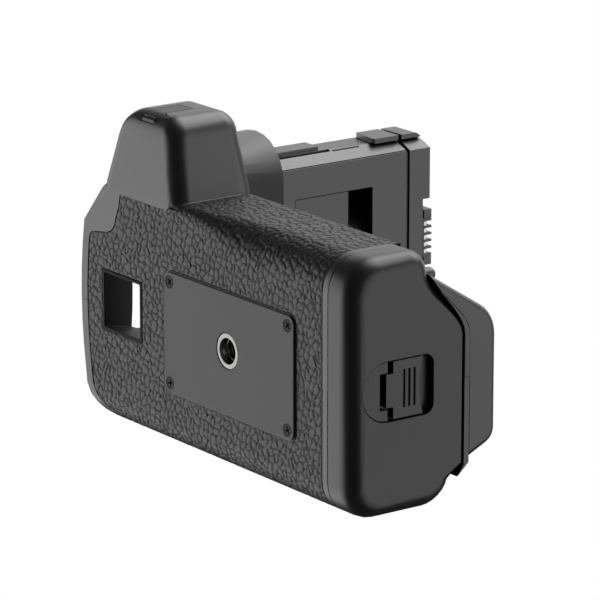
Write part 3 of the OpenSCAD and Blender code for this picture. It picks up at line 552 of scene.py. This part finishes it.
def screws(g, size):
    """Countersunk screws with a cross recess, head down, at the points of the piece."""
    head, shank, chamfer = size["Head radius"], size["Shank radius"], size["Chamfer"]
    cone = head - shank

    def tube(low, high, depth, z):
        side = g.node(
            "GeometryNodeMeshCone",
            {"Vertices": SCREW_SIDES, "Radius Bottom": low, "Radius Top": high, "Depth": depth},
            fill_type="NONE")
        return moved(g, side, vector(g, z=z))

    def disc(radius, z):
        inputs = {"Vertices": SCREW_SIDES, "Radius": radius}
        flat = g.node("GeometryNodeMeshCircle", inputs, fill_type="NGON")
        return moved(g, flat, vector(g, z=z))

    face = g.node("GeometryNodeFlipFaces", {"Mesh": disc(head - chamfer, 0.0)})
    body = joined(
        g, face, tube(head - chamfer, head, chamfer, 0.0), tube(head, shank, cone, chamfer),
        tube(shank, shank, size["Length"], chamfer + cone), disc(shank, chamfer + cone + size["Length"]))
    body = g.node("GeometryNodeMergeByDistance", {"Geometry": body, "Distance": MERGE / 2})
    arm = g.node("GeometryNodeMeshCube", {"Size": size["Recess"]})
    across = moved(g, arm, turn=(0.0, 0.0, QUARTER))
    cut = g.tree.nodes.new("GeometryNodeMeshBoolean")
    cut.operation = "DIFFERENCE"
    g.feed(cut.inputs["Mesh 1"], body)
    g.feed(cut.inputs["Mesh 2"], arm)
    g.feed(cut.inputs["Mesh 2"], across)
    one = moved(g, Wire(g, cut.outputs[0]), turn=size["Turn"])
    spin = g.node("FunctionNodeRandomValue", {"Min": 0.2, "Max": 1.4, "Seed": 5}, out=1, data_type="FLOAT")
    spun = g.node("GeometryNodeInstanceOnPoints", {"Points": size["Geometry"], "Instance": one})
    return g.node("GeometryNodeRotateInstances", {"Instances": spun, "Rotation": vector(g, z=spin)})


def spiral(g, size):
    """A wire or a thread's ridge wound round an upright axis."""
    path = g.node(
        "GeometryNodeCurveSpiral",
        {"Resolution": 48, "Rotations": size["Turns"], "Start Radius": size["Radius"],
         "End Radius": size["Radius"], "Height": size["Height"]})
    wire = g.node("GeometryNodeCurvePrimitiveCircle", {"Resolution": 10, "Radius": size["Wire"]})
    wound = g.node("GeometryNodeCurveToMesh", {"Curve": path, "Profile Curve": wire, "Fill Caps": True})
    return joined(g, size["Geometry"], moved(g, wound, size["Foot"]))


def row(g, size):
    """Rounded bars set side by side in a row."""
    one = bar(g, size["Width"], size["Height"], size["Corner"], size["Length"])
    line = g.node(
        "GeometryNodeMeshLine",
        {"Count": size["Count"], "Start Location": size["Start"], "Offset": size["Step"]}, mode="OFFSET")
    bars = g.node("GeometryNodeInstanceOnPoints", {"Points": line, "Instance": one})
    return joined(g, size["Geometry"], bars)


def notched(g, size):
    """A wheel with a notched rim round a bore."""
    fine = 10
    count = size["Notches"] * fine
    rim = g.node("GeometryNodeCurvePrimitiveCircle", {"Resolution": count, "Radius": size["Radius"]})
    turn = g.node("GeometryNodeInputIndex") * (2 * math.pi / fine)
    wave = g.node("ShaderNodeMath", {0: turn}, operation="COSINE")
    dip = (wave * 0.5 + 0.5) ** 3.0 * size["Notch depth"] * -1.0
    outward = g.node("ShaderNodeVectorMath", {0: g.node("GeometryNodeInputPosition")}, operation="NORMALIZE")
    shift = g.node("ShaderNodeVectorMath", {0: outward, "Scale": dip}, operation="SCALE")
    edge = g.node("GeometryNodeSetPosition", {"Geometry": rim, "Offset": shift})
    bore = g.node("GeometryNodeCurvePrimitiveCircle", {"Resolution": 48, "Radius": size["Bore"]})
    return moved(g, slab(g, joined(g, edge, bore), size["Thickness"]), size["Foot"])


# Outline of the skin


BODY_FRONT, BODY_REAR, BASE, EDGE_R = 35.6, 35.6, 0.5, 10.0
ROOT_X, ROOT_R, ROOT_RUN = -24.5, 2.5, 38.0
SKIN_TOP, SKIN_RIGHT, SKIN_T = 25.0, 42.7, 1.0
CELLS = 256
REAR = BODY_REAR - EDGE_R
REAR_END = REAR + EDGE_R * QUARTER + SKIN_TOP - BASE - EDGE_R


def front_radius(x):
    """Radius of the front lower edge, which grows with the distance from the hump."""
    share = np.linspace(0, 1, 7)
    eased = share * share * (3 - 2 * share)
    return np.interp(x, ROOT_X + ROOT_RUN * share, ROOT_R + (EDGE_R - ROOT_R) * eased)


def front_end(x):
    """Distance round the section at which the skin ends on the front."""
    r = front_radius(x)
    return 2 * r - BODY_FRONT - r * QUARTER - SKIN_TOP + BASE


def run_of(x, y):
    """Distance round the section of a point on the underside: its depth, as far as that is flat."""
    r = front_radius(x)
    front = r - BODY_FRONT
    if y < front:
        return front - r * math.asin(min((front - y) / r, 1.0))
    if y > REAR:
        return REAR + EDGE_R * math.asin(min((y - REAR) / EDGE_R, 1.0))
    return y


def wrapped(x, run, height):
    """Points on the section at distances round it, raised off it, as depths and heights."""
    r = front_radius(x)
    front = r - BODY_FRONT
    fore = np.clip((front - run) / r, 0, QUARTER)
    aft = np.clip((run - REAR) / EDGE_R, 0, QUARTER)
    rise = np.maximum(front - run - r * QUARTER, 0) + np.maximum(run - REAR - EDGE_R * QUARTER, 0)
    depth = np.clip(run, front, REAR) - r * np.sin(fore) + EDGE_R * np.sin(aft)
    level = BASE + r * (1 - np.cos(fore)) + EDGE_R * (1 - np.cos(aft)) + rise
    return depth + (np.sin(aft) - np.sin(fore)) * height, level - np.cos(fore) * np.cos(aft) * height


def arc(cx, cy, r, a0, a1, n):
    turns = [math.radians(a0 + (a1 - a0) * k / n) for k in range(n + 1)]
    return [(cx + r * math.cos(a), cy + r * math.sin(a)) for a in turns]


def round_rect(x0, y0, x1, y1, r, n=6):
    corners = ((x1 - r, y0 + r, -90), (x1 - r, y1 - r, 0), (x0 + r, y1 - r, 90), (x0 + r, y0 + r, 180))
    return [p for cx, cy, a in corners for p in arc(cx, cy, r, a, a + 90, n)]


def resampled(points, step):
    """A closed outline with points no further apart than a step."""
    made = []
    for (x0, y0), (x1, y1) in zip(points, points[1:] + points[:1]):
        count = max(1, math.ceil(math.hypot(x1 - x0, y1 - y0) / step))
        made += [(x0 + (x1 - x0) * k / count, y0 + (y1 - y0) * k / count) for k in range(count)]
    return made


def skin_outlines():
    """The skin's edge and its two openings, as lengths and distances round the section."""
    margin, left_r, bow_r, left = 3.2, 14.0, 130.0, -drawn(CAD_BOX[0][0])
    bow_end, turn_r, notch_r, hump_x, hump_y = 17, 3, 5.6, -24.2, -34.3
    corner_y = BODY_REAR - left_r

    def bow(y):
        return -left + y * y / (2 * bow_r)

    corner_x = bow(corner_y) + left_r
    plan = arc(corner_x, corner_y, left_r - margin, 90, 180, 8)
    plan += [(bow(y) + margin, y) for y in np.linspace(corner_y, -bow_end, 9)[1:]]
    plan += arc(bow(bow_end) + margin + turn_r, -bow_end, turn_r, 210, 270, 4)
    plan += arc(-60.5, -26.5, notch_r, 75, 5, 5)
    plan += [(-53.4, -29.5), (-52.4, hump_y), (hump_x, hump_y)]
    edge = [(SKIN_RIGHT, REAR_END), (corner_x, REAR_END)]
    edge += [(x, run_of(x, y)) for x, y in plan]
    edge += [(x, front_end(x)) for x in np.linspace(hump_x, SKIN_RIGHT, 24)]
    plate_opening = round_rect(-30.7, -16.45, 30.7, 18.45, 2.7)
    strap_opening = round_rect(-62.0, -10.0, -42.3, 7.7, 0.4, 2)
    return edge, plate_opening, strap_opening


def filled(outlines, pitch, clear):
    """Triangles over an outline with holes: fixed edge points and a staggered grid inside."""
    stagger, all_triangles, closeness = 0.87, 0, 1e-7
    sides = [np.array(o) for o in outlines]
    fixed = np.concatenate(sides)
    low, high = fixed.min(0), fixed.max(0)
    rows = np.arange(low[1], high[1], pitch * stagger)
    lines = [np.arange(low[0] + (k % 2) * pitch / 2, high[0], pitch) for k in range(len(rows))]
    grid = np.concatenate([np.stack([line, np.full_like(line, y)], 1) for line, y in zip(lines, rows)])
    keep = inside(grid, sides[0])
    for hole in sides[1:]:
        keep &= ~inside(grid, hole)
    grid = grid[keep]
    grid = grid[edge_distance(grid, sides) > clear]
    points = [Vector(p) for p in np.concatenate([fixed, grid])]
    edges, first = [], 0
    for side in sides:
        count = len(side)
        edges += [(first + k, first + (k + 1) % count) for k in range(count)]
        first += count
    verts, _, faces, _, _, _ = delaunay_2d_cdt(points, edges, [], all_triangles, closeness)
    flat = np.array([v[:] for v in verts])
    tris = np.array(faces)
    centres = flat[tris].mean(1)
    keep = inside(centres, sides[0])
    for hole in sides[1:]:
        keep &= ~inside(centres, hole)
    return flat, tris[keep]


def inside(points, outline):
    """Which points lie inside a closed outline."""
    x, y = points[:, 0], points[:, 1]
    odd = np.zeros(len(points), bool)
    for (x0, y0), (x1, y1) in zip(outline, np.roll(outline, -1, 0)):
        if y0 == y1:
            continue
        crosses = (y0 > y) != (y1 > y)
        odd ^= crosses & (x < (x1 - x0) * (y - y0) / (y1 - y0) + x0)
    return odd


def edge_distance(points, outlines):
    """Distance from each point to the nearest edge of the outlines."""
    best = np.full(len(points), 1e9)
    for outline in outlines:
        for a, b in zip(outline, np.roll(outline, -1, 0)):
            run = b - a
            t = np.clip(((points - a) @ run) / max(run @ run, 1e-12), 0, 1)
            gap = points - a - t[:, None] * run
            best = np.minimum(best, np.hypot(gap[:, 0], gap[:, 1]))
    return best


def lattice(points, cell, seed):
    """Smooth noise from 0 to 1 on a square lattice."""
    rng = np.random.default_rng(seed)
    table = rng.random((CELLS, CELLS))
    at = points / cell
    base = np.floor(at).astype(int)
    f = at - base
    f = f * f * (3 - 2 * f)
    i, j = base[:, 0] % CELLS, base[:, 1] % CELLS
    k, m = (i + 1) % CELLS, (j + 1) % CELLS
    low = table[i, j] * (1 - f[:, 0]) + table[k, j] * f[:, 0]
    high = table[i, m] * (1 - f[:, 0]) + table[k, m] * f[:, 0]
    return low * (1 - f[:, 1]) + high * f[:, 1]


def creases(points, cell, seed):
    """How much nearer a point is to its own pebble's centre than to the next one's."""
    far, border = 9.0, 0.1
    rng = np.random.default_rng(seed)
    seeds = rng.random((CELLS, CELLS, 2))
    at = points / cell
    base = np.floor(at).astype(int)
    near = np.full(len(points), far)
    next_near = np.full(len(points), far)
    for dx in (-1, 0, 1):
        for dy in (-1, 0, 1):
            home = base + (dx, dy)
            centre = home + border + (1 - 2 * border) * seeds[home[:, 0] % CELLS, home[:, 1] % CELLS]
            gap = np.hypot(*(at - centre).T)
            next_near = np.minimum(next_near, np.maximum(near, gap))
            near = np.minimum(near, gap)
    return (next_near - near) * cell


def grain(points, cell):
    """Pebbled leather: height from 0 to 1, and how deep in a crease each point lies."""
    coarse, fine, reach = 2.2, 0.9, 0.9
    sway = np.stack([lattice(points, coarse, 3), lattice(points, coarse, 4)], 1) - 0.5
    sway += 0.5 * (np.stack([lattice(points, fine, 5), lattice(points, fine, 6)], 1) - 0.5)
    bent = points + sway * reach
    slant = np.stack([bent[:, 0] * 1.15 + bent[:, 1] * 0.35, bent[:, 1] - bent[:, 0] * 0.2], 1)
    width = 0.5 + 0.25 * lattice(points, 3.0, 7)
    wide = np.clip(creases(slant, cell, 11) / width, 0, 1)
    small = np.clip(creases(slant, cell * 0.55, 12) / (width * 0.8), 0, 1)
    pebble = (wide * wide * (3 - 2 * wide)) * (0.9 + 0.1 * small)
    height = pebble * (0.88 + 0.12 * lattice(points, 1.3, 8))
    return height, 1 - pebble


class GripFinish(bpy.types.PropertyGroup):
    """Tones and sheens of the grip's mouldings"""

    shell_level: FloatProperty(
        name="Shell tone", description="Grey of the shells", default=0.022, min=0, max=1)
    shell_rough: FloatProperty(
        name="Shell roughness", description="Sheen of the shells", default=0.36, min=0, max=1)
    cap_level: FloatProperty(
        name="Cap tone", description="Grey of the end cap", default=0.016, min=0, max=1)
    cap_rough: FloatProperty(
        name="Cap roughness", description="Sheen of the end cap", default=0.34, min=0, max=1)
    insert_level: FloatProperty(
        name="Insert tone", description="Grey of the insert", default=0.014, min=0, max=1)
    insert_rough: FloatProperty(
        name="Insert roughness", description="Sheen of the insert", default=0.30, min=0, max=1)
    skin_level: FloatProperty(
        name="Skin tone", description="Grey of the rubber skin", default=0.03, min=0, max=1)
    skin_rough: FloatProperty(
        name="Skin roughness", description="Sheen of the skin", default=0.40, min=0, max=1)
    plate_level: FloatProperty(
        name="Plate tone", description="Grey of the plate", default=0.055, min=0, max=1)
    plate_rough: FloatProperty(
        name="Plate roughness", description="Sheen of the plate", default=0.45, min=0, max=1)


class GripGrain(bpy.types.PropertyGroup):
    """Grain of the rubber skin"""

    pebble: FloatProperty(
        name="Pebble", description="Width of a pebble in millimetres", default=2.5, min=0.5, max=5)
    depth: FloatProperty(
        name="Depth", description="Depth of the creases in millimetres", default=0.3, min=0, max=0.6)
    pitch: FloatProperty(
        name="Mesh pitch", description="Spacing of the mesh in millimetres", default=0.4, min=0.3, max=2)


class GripStage(bpy.types.PropertyGroup):
    """Camera and studio light"""

    camera_place: FloatVectorProperty(
        name="Camera", description="Place of the camera", subtype="TRANSLATION", unit="LENGTH",
        default=(0.87157, -0.30288, -0.60847))
    lens: FloatProperty(
        name="Lens", description="Focal length in millimetres", default=245.28, min=10, max=1000)
    fill: FloatProperty(name="Fill", description="Light from all round", default=0.04, min=0, max=5)
    left: FloatProperty(
        name="Left panel", description="Light of the left softbox", default=1.6, min=0, max=20)
    right: FloatProperty(
        name="Right panel", description="Light of the right softbox", default=1.05, min=0, max=20)
    over: FloatProperty(
        name="Upper panel", description="Light of the upper softbox", default=0.95, min=0, max=20)
    front: FloatProperty(
        name="Front strip", description="Light of the front softbox", default=3.2, min=0, max=20)


# Operators


def screw_set(node, name, finish, points, head, shank, length, turn=(0.0, 0.0, 0.0)):
    """Countersunk screws at points, from sizes in millimetres."""
    sizes = {
        "Head radius": head * MM, "Shank radius": shank * MM, "Chamfer": 0.12 * MM, "Length": length * MM,
        "Recess": (0.5 * MM, head * 1.3 * MM, 1.1 * MM), "Turn": turn}
    return settle(grown(places(name, points), name + "_tree", finish, sizes, screws), node, finish)


def corner_places(node, head, level):
    """Places of four screws whose heads, of a radius, touch the sides of their solid's box."""
    low, high = box(node)
    xs, ys = ((low[k] + head, high[k] - head) for k in (0, 1))
    return [(x, y, level) for x in xs for y in ys]


def thread(turns, radius, height, foot):
    """Inputs of a thread's ridge, from sizes in millimetres."""
    return {
        "Turns": turns, "Radius": radius * MM, "Height": height * MM, "Wire": 0.46 * MM,
        "Foot": tuple(float(c) * MM for c in foot)}


class GRIP_OT_shells(bpy.types.Operator):
    """Front and rear shells, the cover towards the camera and the strap duct"""

    bl_idname = "grip.shells"
    bl_label = "Shells"

    def execute(self, context):
        dressed("front_shell", "front_moulding", "shell", 0.15)
        dressed("rear_shell", "rear_moulding", "shell", 0.15)
        dressed("upper_cover", "cover_moulding", "shell", 0.15)
        dressed("strap_liner", "strap_duct", "liner", 0.3)
        return {"FINISHED"}


class GRIP_OT_skin(bpy.types.Operator):
    """Rubber skin with its leather grain as real relief"""

    bl_idname = "grip.skin"
    bl_label = "Skin"

    def execute(self, context):
        kit = context.scene.grip_grain
        rim, tuck, flush, back_pitch, back_clear = 0.7, 0.3, 0.9, 2.5, 0.8
        outlines = [resampled(o, kit.pitch) for o in skin_outlines()]
        flat, tris = filled(outlines, kit.pitch, kit.pitch * 0.45)
        height, crease = grain(flat, kit.pebble)
        fade = np.clip(edge_distance(flat, [np.array(o) for o in outlines]) / rim, 0, 1)
        lift = kit.depth * (height - flush) * fade - tuck * (1 - fade) ** 2
        depth, level = wrapped(flat[:, 0], flat[:, 1], lift)
        top = np.stack([flat[:, 0], depth, level], 1)
        back_flat, back_tris = filled(outlines, back_pitch, back_clear)
        depth, level = wrapped(back_flat[:, 0], back_flat[:, 1], -SKIN_T)
        back = np.stack([back_flat[:, 0], depth, level], 1)
        sides, first = [], 0
        for outline in outlines:
            count = len(outline)
            ring = np.arange(count)
            a, b = first + ring, first + (ring + 1) % count
            shift = len(top)
            sides += [np.stack([a, b, b + shift], 1), np.stack([a, b + shift, a + shift], 1)]
            first += count
        faces = np.concatenate([tris, back_tris[:, ::-1] + len(top), *sides])
        verts = np.concatenate([top, back]) * MM
        mesh = bpy.data.meshes.new("skin_relief")
        mesh.from_pydata(verts.tolist(), [], faces.tolist())
        # The crease attribute drives the painted shade in the skin's creases, darkening the hidden back all
        # over, and dulls the creases.
        tone = mesh.attributes.new("crease", "FLOAT", "POINT")
        tone.data.foreach_set("value", np.concatenate([crease, np.ones(len(back))]).astype(np.float32))
        work = bmesh.new()
        work.from_mesh(mesh)
        bmesh.ops.recalc_face_normals(work, faces=work.faces)
        work.to_mesh(mesh)
        work.free()
        smooth(mesh, 60)
        settle(link(mesh, "skin_relief"), "grip_skin", "skin")
        return {"FINISHED"}


class GRIP_OT_plate(bpy.types.Operator):
    """Tripod plate with its threaded bush and screws"""

    bl_idname = "grip.plate"
    bl_label = "Plate"

    def execute(self, context):
        dressed("tripod_plate", "base_plate", "plate", 0.25, flat=True)
        self.bush()
        sunk, countersink = 0.12, 1.9
        points = corner_places("plate_screws", countersink, sunk)
        screw_set("plate_screws", "plate_screw_set", "black_screw", points, 1.72, 0.9, 4.0)
        return {"FINISHED"}

    def bush(self):
        """Turned bush: rounded lip, countersunk bore, neck, and the flange under the plate."""
        _, (flange, _, top) = box("tripod_socket")
        under = box("tripod_plate")[1][2]
        lip, bore, neck = 5.0, 3.1, 4.6
        rim = [(lip, 0.4), (lip - 0.12, 0.12), (lip - 0.4, 0.0), (lip - 1.1, 0.0), (lip - 1.3, 0.1)]
        hole = [(bore + 0.15, 1.0), (bore, 1.7), (bore, top)]
        back = [(neck, top), (neck, 2 * under), (flange, 2 * under), (flange, under), (lip, under)]
        sizes = thread(3.4, bore + 0.02, 4.3, (0, 0, 1.75))
        bush = grown(turned("bush", rim + hole + back), "inner_thread", "nickel", sizes, spiral)
        settle(bush, "tripod_socket", "nickel")


class GRIP_OT_port(bpy.types.Operator):
    """Flap of the cable port, with the jack behind it"""

    bl_idname = "grip.port"
    bl_label = "Port"

    def execute(self, context):
        dressed("port_cover", "port_flap", "flap", 0.1)
        dressed("cable_jack", "port_jack", "liner", 0.15)
        return {"FINISHED"}


class GRIP_OT_insert(bpy.types.Operator):
    """Battery-shaped insert with its contacts"""

    bl_idname = "grip.insert"
    bl_label = "Insert"

    def execute(self, context):
        dressed("tower_frame", "insert_channel", "insert", 0.15)
        dressed("tower_side", "insert_side", "insert", 0.15)
        dressed("tower_head", "insert_head", "insert", 0.2)
        self.contacts()
        dressed("tower_lead", "film_lead", "lead", 0.05)
        return {"FINISHED"}

    def contacts(self):
        """Comb of ribs between two jaws, with a blade in each gap of the comb."""
        jaw, rib, ribs = 2.8, 0.8, 6
        (x0, y0, z0), (x1, y1, z1) = box("contact_comb")
        (blade_x, _, blade_z), (_, _, blade_top) = box("contact_blades")
        step = (y1 - y0 - 2 * jaw - rib) / (ribs - 1)
        first = y0 + jaw + rib / 2
        floor = [((x0, y0, z0), (x1, y1, blade_z))]
        jaws = [((x0, y, z0), (x1, y + jaw, z1)) for y in (y0, y1 - jaw)]
        sizes = self.bars(rib, z1 - z0, 0.38, x1 - x0, ribs, (x0, first, (z0 + z1) / 2), step)
        comb = grown(blocks("comb", floor + jaws, 0.2), "comb_ribs", "insert", sizes, row)
        settle(comb, "contact_comb", "insert")
        blade, length, foot, foot_top, past = 0.7, 9.4, 1.2, 0.6, 0.1
        first += step / 2
        spots = [first + k * step for k in range(ribs - 1)]
        low, high = blade_z - foot_top / 2, blade_z + foot_top
        feet = [((blade_x, y - foot / 2, low), (x1 + past, y + foot / 2, high)) for y in spots]
        start = (blade_x, first, (blade_z + blade_top) / 2)
        sizes = self.bars(blade, blade_top - blade_z, 0.2, length, ribs - 1, start, step)
        blades = grown(blocks("comb_blades", feet, 0.1), "contact_row", "contact", sizes, row)
        settle(blades, "contact_blades", "contact")

    def bars(self, width, height, corner, length, count, start, step):
        """Inputs of a row of bars, from sizes in millimetres."""
        return {
            "Width": width * MM, "Height": height * MM, "Corner": corner * MM, "Length": length * MM,
            "Count": count, "Start": tuple(c * MM for c in start), "Step": (0.0, step * MM, 0.0)}


class GRIP_OT_magazine(bpy.types.Operator):
    """Battery magazine with its cap, latch and bay"""

    bl_idname = "grip.magazine"
    bl_label = "Magazine"

    def execute(self, context):
        dressed("magazine_cap", "end_cap", "cap", 0.12)
        dressed("latch_guide", "latch_moon", "cap", 0.12)
        dressed("latch_slider", "latch_slide", "cap", 0.1)
        self.spring()
        dressed("magazine_tray", "battery_drawer", "liner", 0.25)
        head = 1.8
        low, high = box("cap_screws")
        points = [(low[0], y, middle("cap_screws")[2]) for y in (low[1] + head, high[1] - head)]
        sideways = (0.0, QUARTER, 0.0)
        screw_set("cap_screws", "cap_screw_set", "steel", points, 1.75, 1.0, 4.5, sideways)
        dressed("battery_bay", "drawer_bay", "liner", 0.25)
        dressed("bay_contacts", "bay_contact_set", "contact", 0.1)
        return {"FINISHED"}

    def spring(self):
        """Coil of the latch. The share of its length left at the latch's full travel is worked out, but the
        coil is not shortened.
        """
        wire, spare = 0.24, 0.01
        low, high = box("latch_spring")
        x, y, _ = middle("latch_spring")
        end = wire + spare
        sizes = {
            "Turns": 8.0, "Radius": ((high[0] - low[0]) / 2 - wire - 4 * spare) * MM, "Wire": wire * MM,
            "Height": (high[2] - low[2] - 2 * end) * MM, "Foot": (x * MM, y * MM, (low[2] + end) * MM)}
        coil = grown(places("latch_coil", []), "coil", "steel", sizes, spiral)
        settle(coil, "latch_spring", "steel")
        joints = frame["record"]["behaviour"]["joints"]
        travel = next(j["range_m"][1] for j in joints if j["name"] == "latch_slide") / MM
        keep = 1 - travel / (high[2] - low[2])
        x * MM
        y * MM
        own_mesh(coil)


class GRIP_OT_wheel(bpy.types.Operator):
    """Mounting screw with its wheel and clip, and the screws of the cover"""

    bl_idname = "grip.wheel"
    bl_label = "Thumb wheel"

    def execute(self, context):
        low, high = box("thumb_wheel")
        x, y, _ = middle("thumb_wheel")
        bore = 4.0
        sizes = {
            "Notches": 48, "Notch depth": 0.45 * MM, "Radius": (high[0] - low[0]) / 2 * MM,
            "Bore": bore * MM, "Thickness": (high[2] - low[2]) * MM,
            "Foot": (x * MM, y * MM, low[2] * MM)}
        wheel = grown(places("notched_wheel", []), "notches", "wheel", sizes, notched)
        smooth(wheel.data, 40)
        settle(wheel, "thumb_wheel", "wheel")
        self.screw(x, y, bore - 0.02, high[2])
        dressed("wheel_clip", "retaining_clip", "steel", 0.08)
        head, sunk = 2.0, 0.1
        points = corner_places("cover_screws", head, box("cover_screws")[1][2] - sunk)[::-1]
        upward = (math.pi, 0.0, 0.0)
        screw_set("cover_screws", "cover_screw_set", "black_screw", points, 1.85, 1.0, 5.5, upward)
        return {"FINISHED"}

    def screw(self, x, y, shaft, collar_z):
        """Captive screw: shaft in the wheel, collar in the cover, and the thread above it."""
        (_, _, foot), (collar, _, tip) = box("mounting_screw")
        core, collar_h, nose = 2.66, 2.2, 0.5
        top = collar_z + collar_h
        outline = [
            (0, foot), (shaft, foot), (shaft, collar_z), (collar, collar_z), (collar, top - 0.1),
            (collar - 0.1, top), (core, top), (core, tip - nose), (core - nose + 0.04, tip), (0, tip)]
        sizes = thread(3.1, core - 0.04, 3.94, (x, y, top + 0.55))
        screw = grown(turned("captive_screw", outline, (x, y)), "outer_thread", "steel", sizes, spiral)
        settle(screw, "mounting_screw", "steel")


class GRIP_OT_controls(bpy.types.Operator):
    """Release button, power lever and what lies under them"""

    bl_idname = "grip.controls"
    bl_label = "Controls"

    def execute(self, context):
        dressed("shutter_button", "release_button", "control", 0.4, steps=3)
        dressed("power_lever", "lever_ring", "control", 0.25)
        dressed("release_switch", "tact_switch", "liner", 0.15)
        dressed("circuit_board", "board", "board", 0.1)
        return {"FINISHED"}


class GRIP_OT_stage(bpy.types.Operator):
    """Camera, floor and studio light"""

    bl_idname = "grip.stage"
    bl_label = "Stage"

    def execute(self, context):
        kit = context.scene.grip_stage
        self.camera(context, kit)
        self.floor()
        self.light(context, kit)
        context.scene.view_settings.view_transform = "Standard"
        return {"FINISHED"}

    def camera(self, context, kit):
        lens = bpy.data.cameras.new("photo_camera")
        lens.sensor_width = 36.0
        lens.lens = kit.lens
        lens.clip_start, lens.clip_end = 0.01, 50.0
        made = bpy.data.objects.new("photo_camera", lens)
        context.scene.collection.objects.link(made)
        back = Vector((0.781, -0.262, -0.567)).normalized()
        right = Vector((0.588, 0.0, 0.809)).normalized()
        up = back.cross(right).normalized()
        right = up.cross(back)
        turn = Matrix((right, up, back)).transposed().to_4x4()
        made.matrix_world = Matrix.Translation(Vector(kit.camera_place)) @ turn
        context.scene.camera = made

    def floor(self):
        work = bmesh.new()
        bmesh.ops.create_grid(work, x_segments=1, y_segments=1, size=3.0)
        mesh = bpy.data.meshes.new("floor")
        work.to_mesh(mesh)
        work.free()
        floor = link(mesh, "floor")

        def paint(g):
            place = g.place()
            tone = g.mix(g.noise(place, 3.0), grey(0.80), grey(0.84))
            top = g.node("ShaderNodeBsdfDiffuse", {"Color": tone})
            clear = g.node("ShaderNodeBsdfTransparent")
            below = g.node("ShaderNodeNewGeometry", out="Backfacing")
            sheet = g.node("ShaderNodeMixShader", {0: below, 1: top, 2: clear})
            g.node("ShaderNodeOutputMaterial", {"Surface": sheet})

        mesh.materials.append(material("pale_floor", paint))
        floor.visible_diffuse = False
        floor.visible_glossy = False
        floor.visible_transmission = False
        floor.visible_shadow = False

    def light(self, context, kit):
        world = bpy.data.worlds.new("studio")
        world.use_nodes = True
        context.scene.world = world
        g = Graph(world.node_tree)
        toward = g.node("ShaderNodeTexCoord", out="Generated")

        def panel(direction, core, edge, level):
            axis = Vector(direction).normalized()
            facing = g.node(
                "ShaderNodeVectorMath", {0: toward, 1: axis}, out="Value", operation="DOT_PRODUCT")
            rim, full = math.cos(math.radians(edge)), math.cos(math.radians(core))
            return g.between(facing, rim, full, 0.0, level)

        glow = panel((-0.78, 0.30, -0.55), 26, 44, kit.left)
        glow = glow + panel((0.76, 0.10, 0.60), 24, 42, kit.right)
        glow = glow + panel((-0.60, -0.25, 0.75), 26, 46, kit.over)
        glow = glow + panel((-0.05, -0.78, 0.60), 18, 34, kit.front)
        glow = glow + kit.fill
        path = g.node("ShaderNodeLightPath", out="Is Camera Ray")
        clear = g.node("ShaderNodeLightPath", out="Is Transmission Ray")
        shown = path.most(clear)
        level = glow + shown * (1.0 - glow)
        back = g.node("ShaderNodeBackground", {"Color": grey(1.0), "Strength": level})
        g.node("ShaderNodeOutputWorld", {"Surface": back})


class GRIP_PT_panel(bpy.types.Panel):
    """Lists the steps that dress the grip"""

    bl_idname = "GRIP_PT_panel"
    bl_label = "Battery grip"
    bl_space_type = "VIEW_3D"
    bl_region_type = "UI"
    bl_category = "Grip"

    def draw(self, context):
        scene = context.scene
        for kit in (scene.grip_finish, scene.grip_grain, scene.grip_stage):
            area = self.layout.box()
            for key in kit.__annotations__:
                area.prop(kit, key)
        for step in STEPS:
            self.layout.operator(step.bl_idname)


STEPS = (
    GRIP_OT_stage,
    GRIP_OT_shells,
    GRIP_OT_skin,
    GRIP_OT_plate,
    GRIP_OT_port,
    GRIP_OT_insert,
    GRIP_OT_magazine,
    GRIP_OT_wheel,
    GRIP_OT_controls,
)
KITS = {"grip_finish": GripFinish, "grip_grain": GripGrain, "grip_stage": GripStage}


def register():
    for kind in (*KITS.values(), *STEPS, GRIP_PT_panel):
        bpy.utils.register_class(kind)
    for name, kit in KITS.items():
        setattr(bpy.types.Scene, name, PointerProperty(type=kit))


def unregister():
    for name in KITS:
        delattr(bpy.types.Scene, name)
    for kind in reversed((*KITS.values(), *STEPS, GRIP_PT_panel)):
        bpy.utils.unregister_class(kind)


def main():
    register()
    for step in STEPS:
        group, name = step.bl_idname.split(".")
        getattr(getattr(bpy.ops, group), name)()


if __name__ == "__main__":
    main()
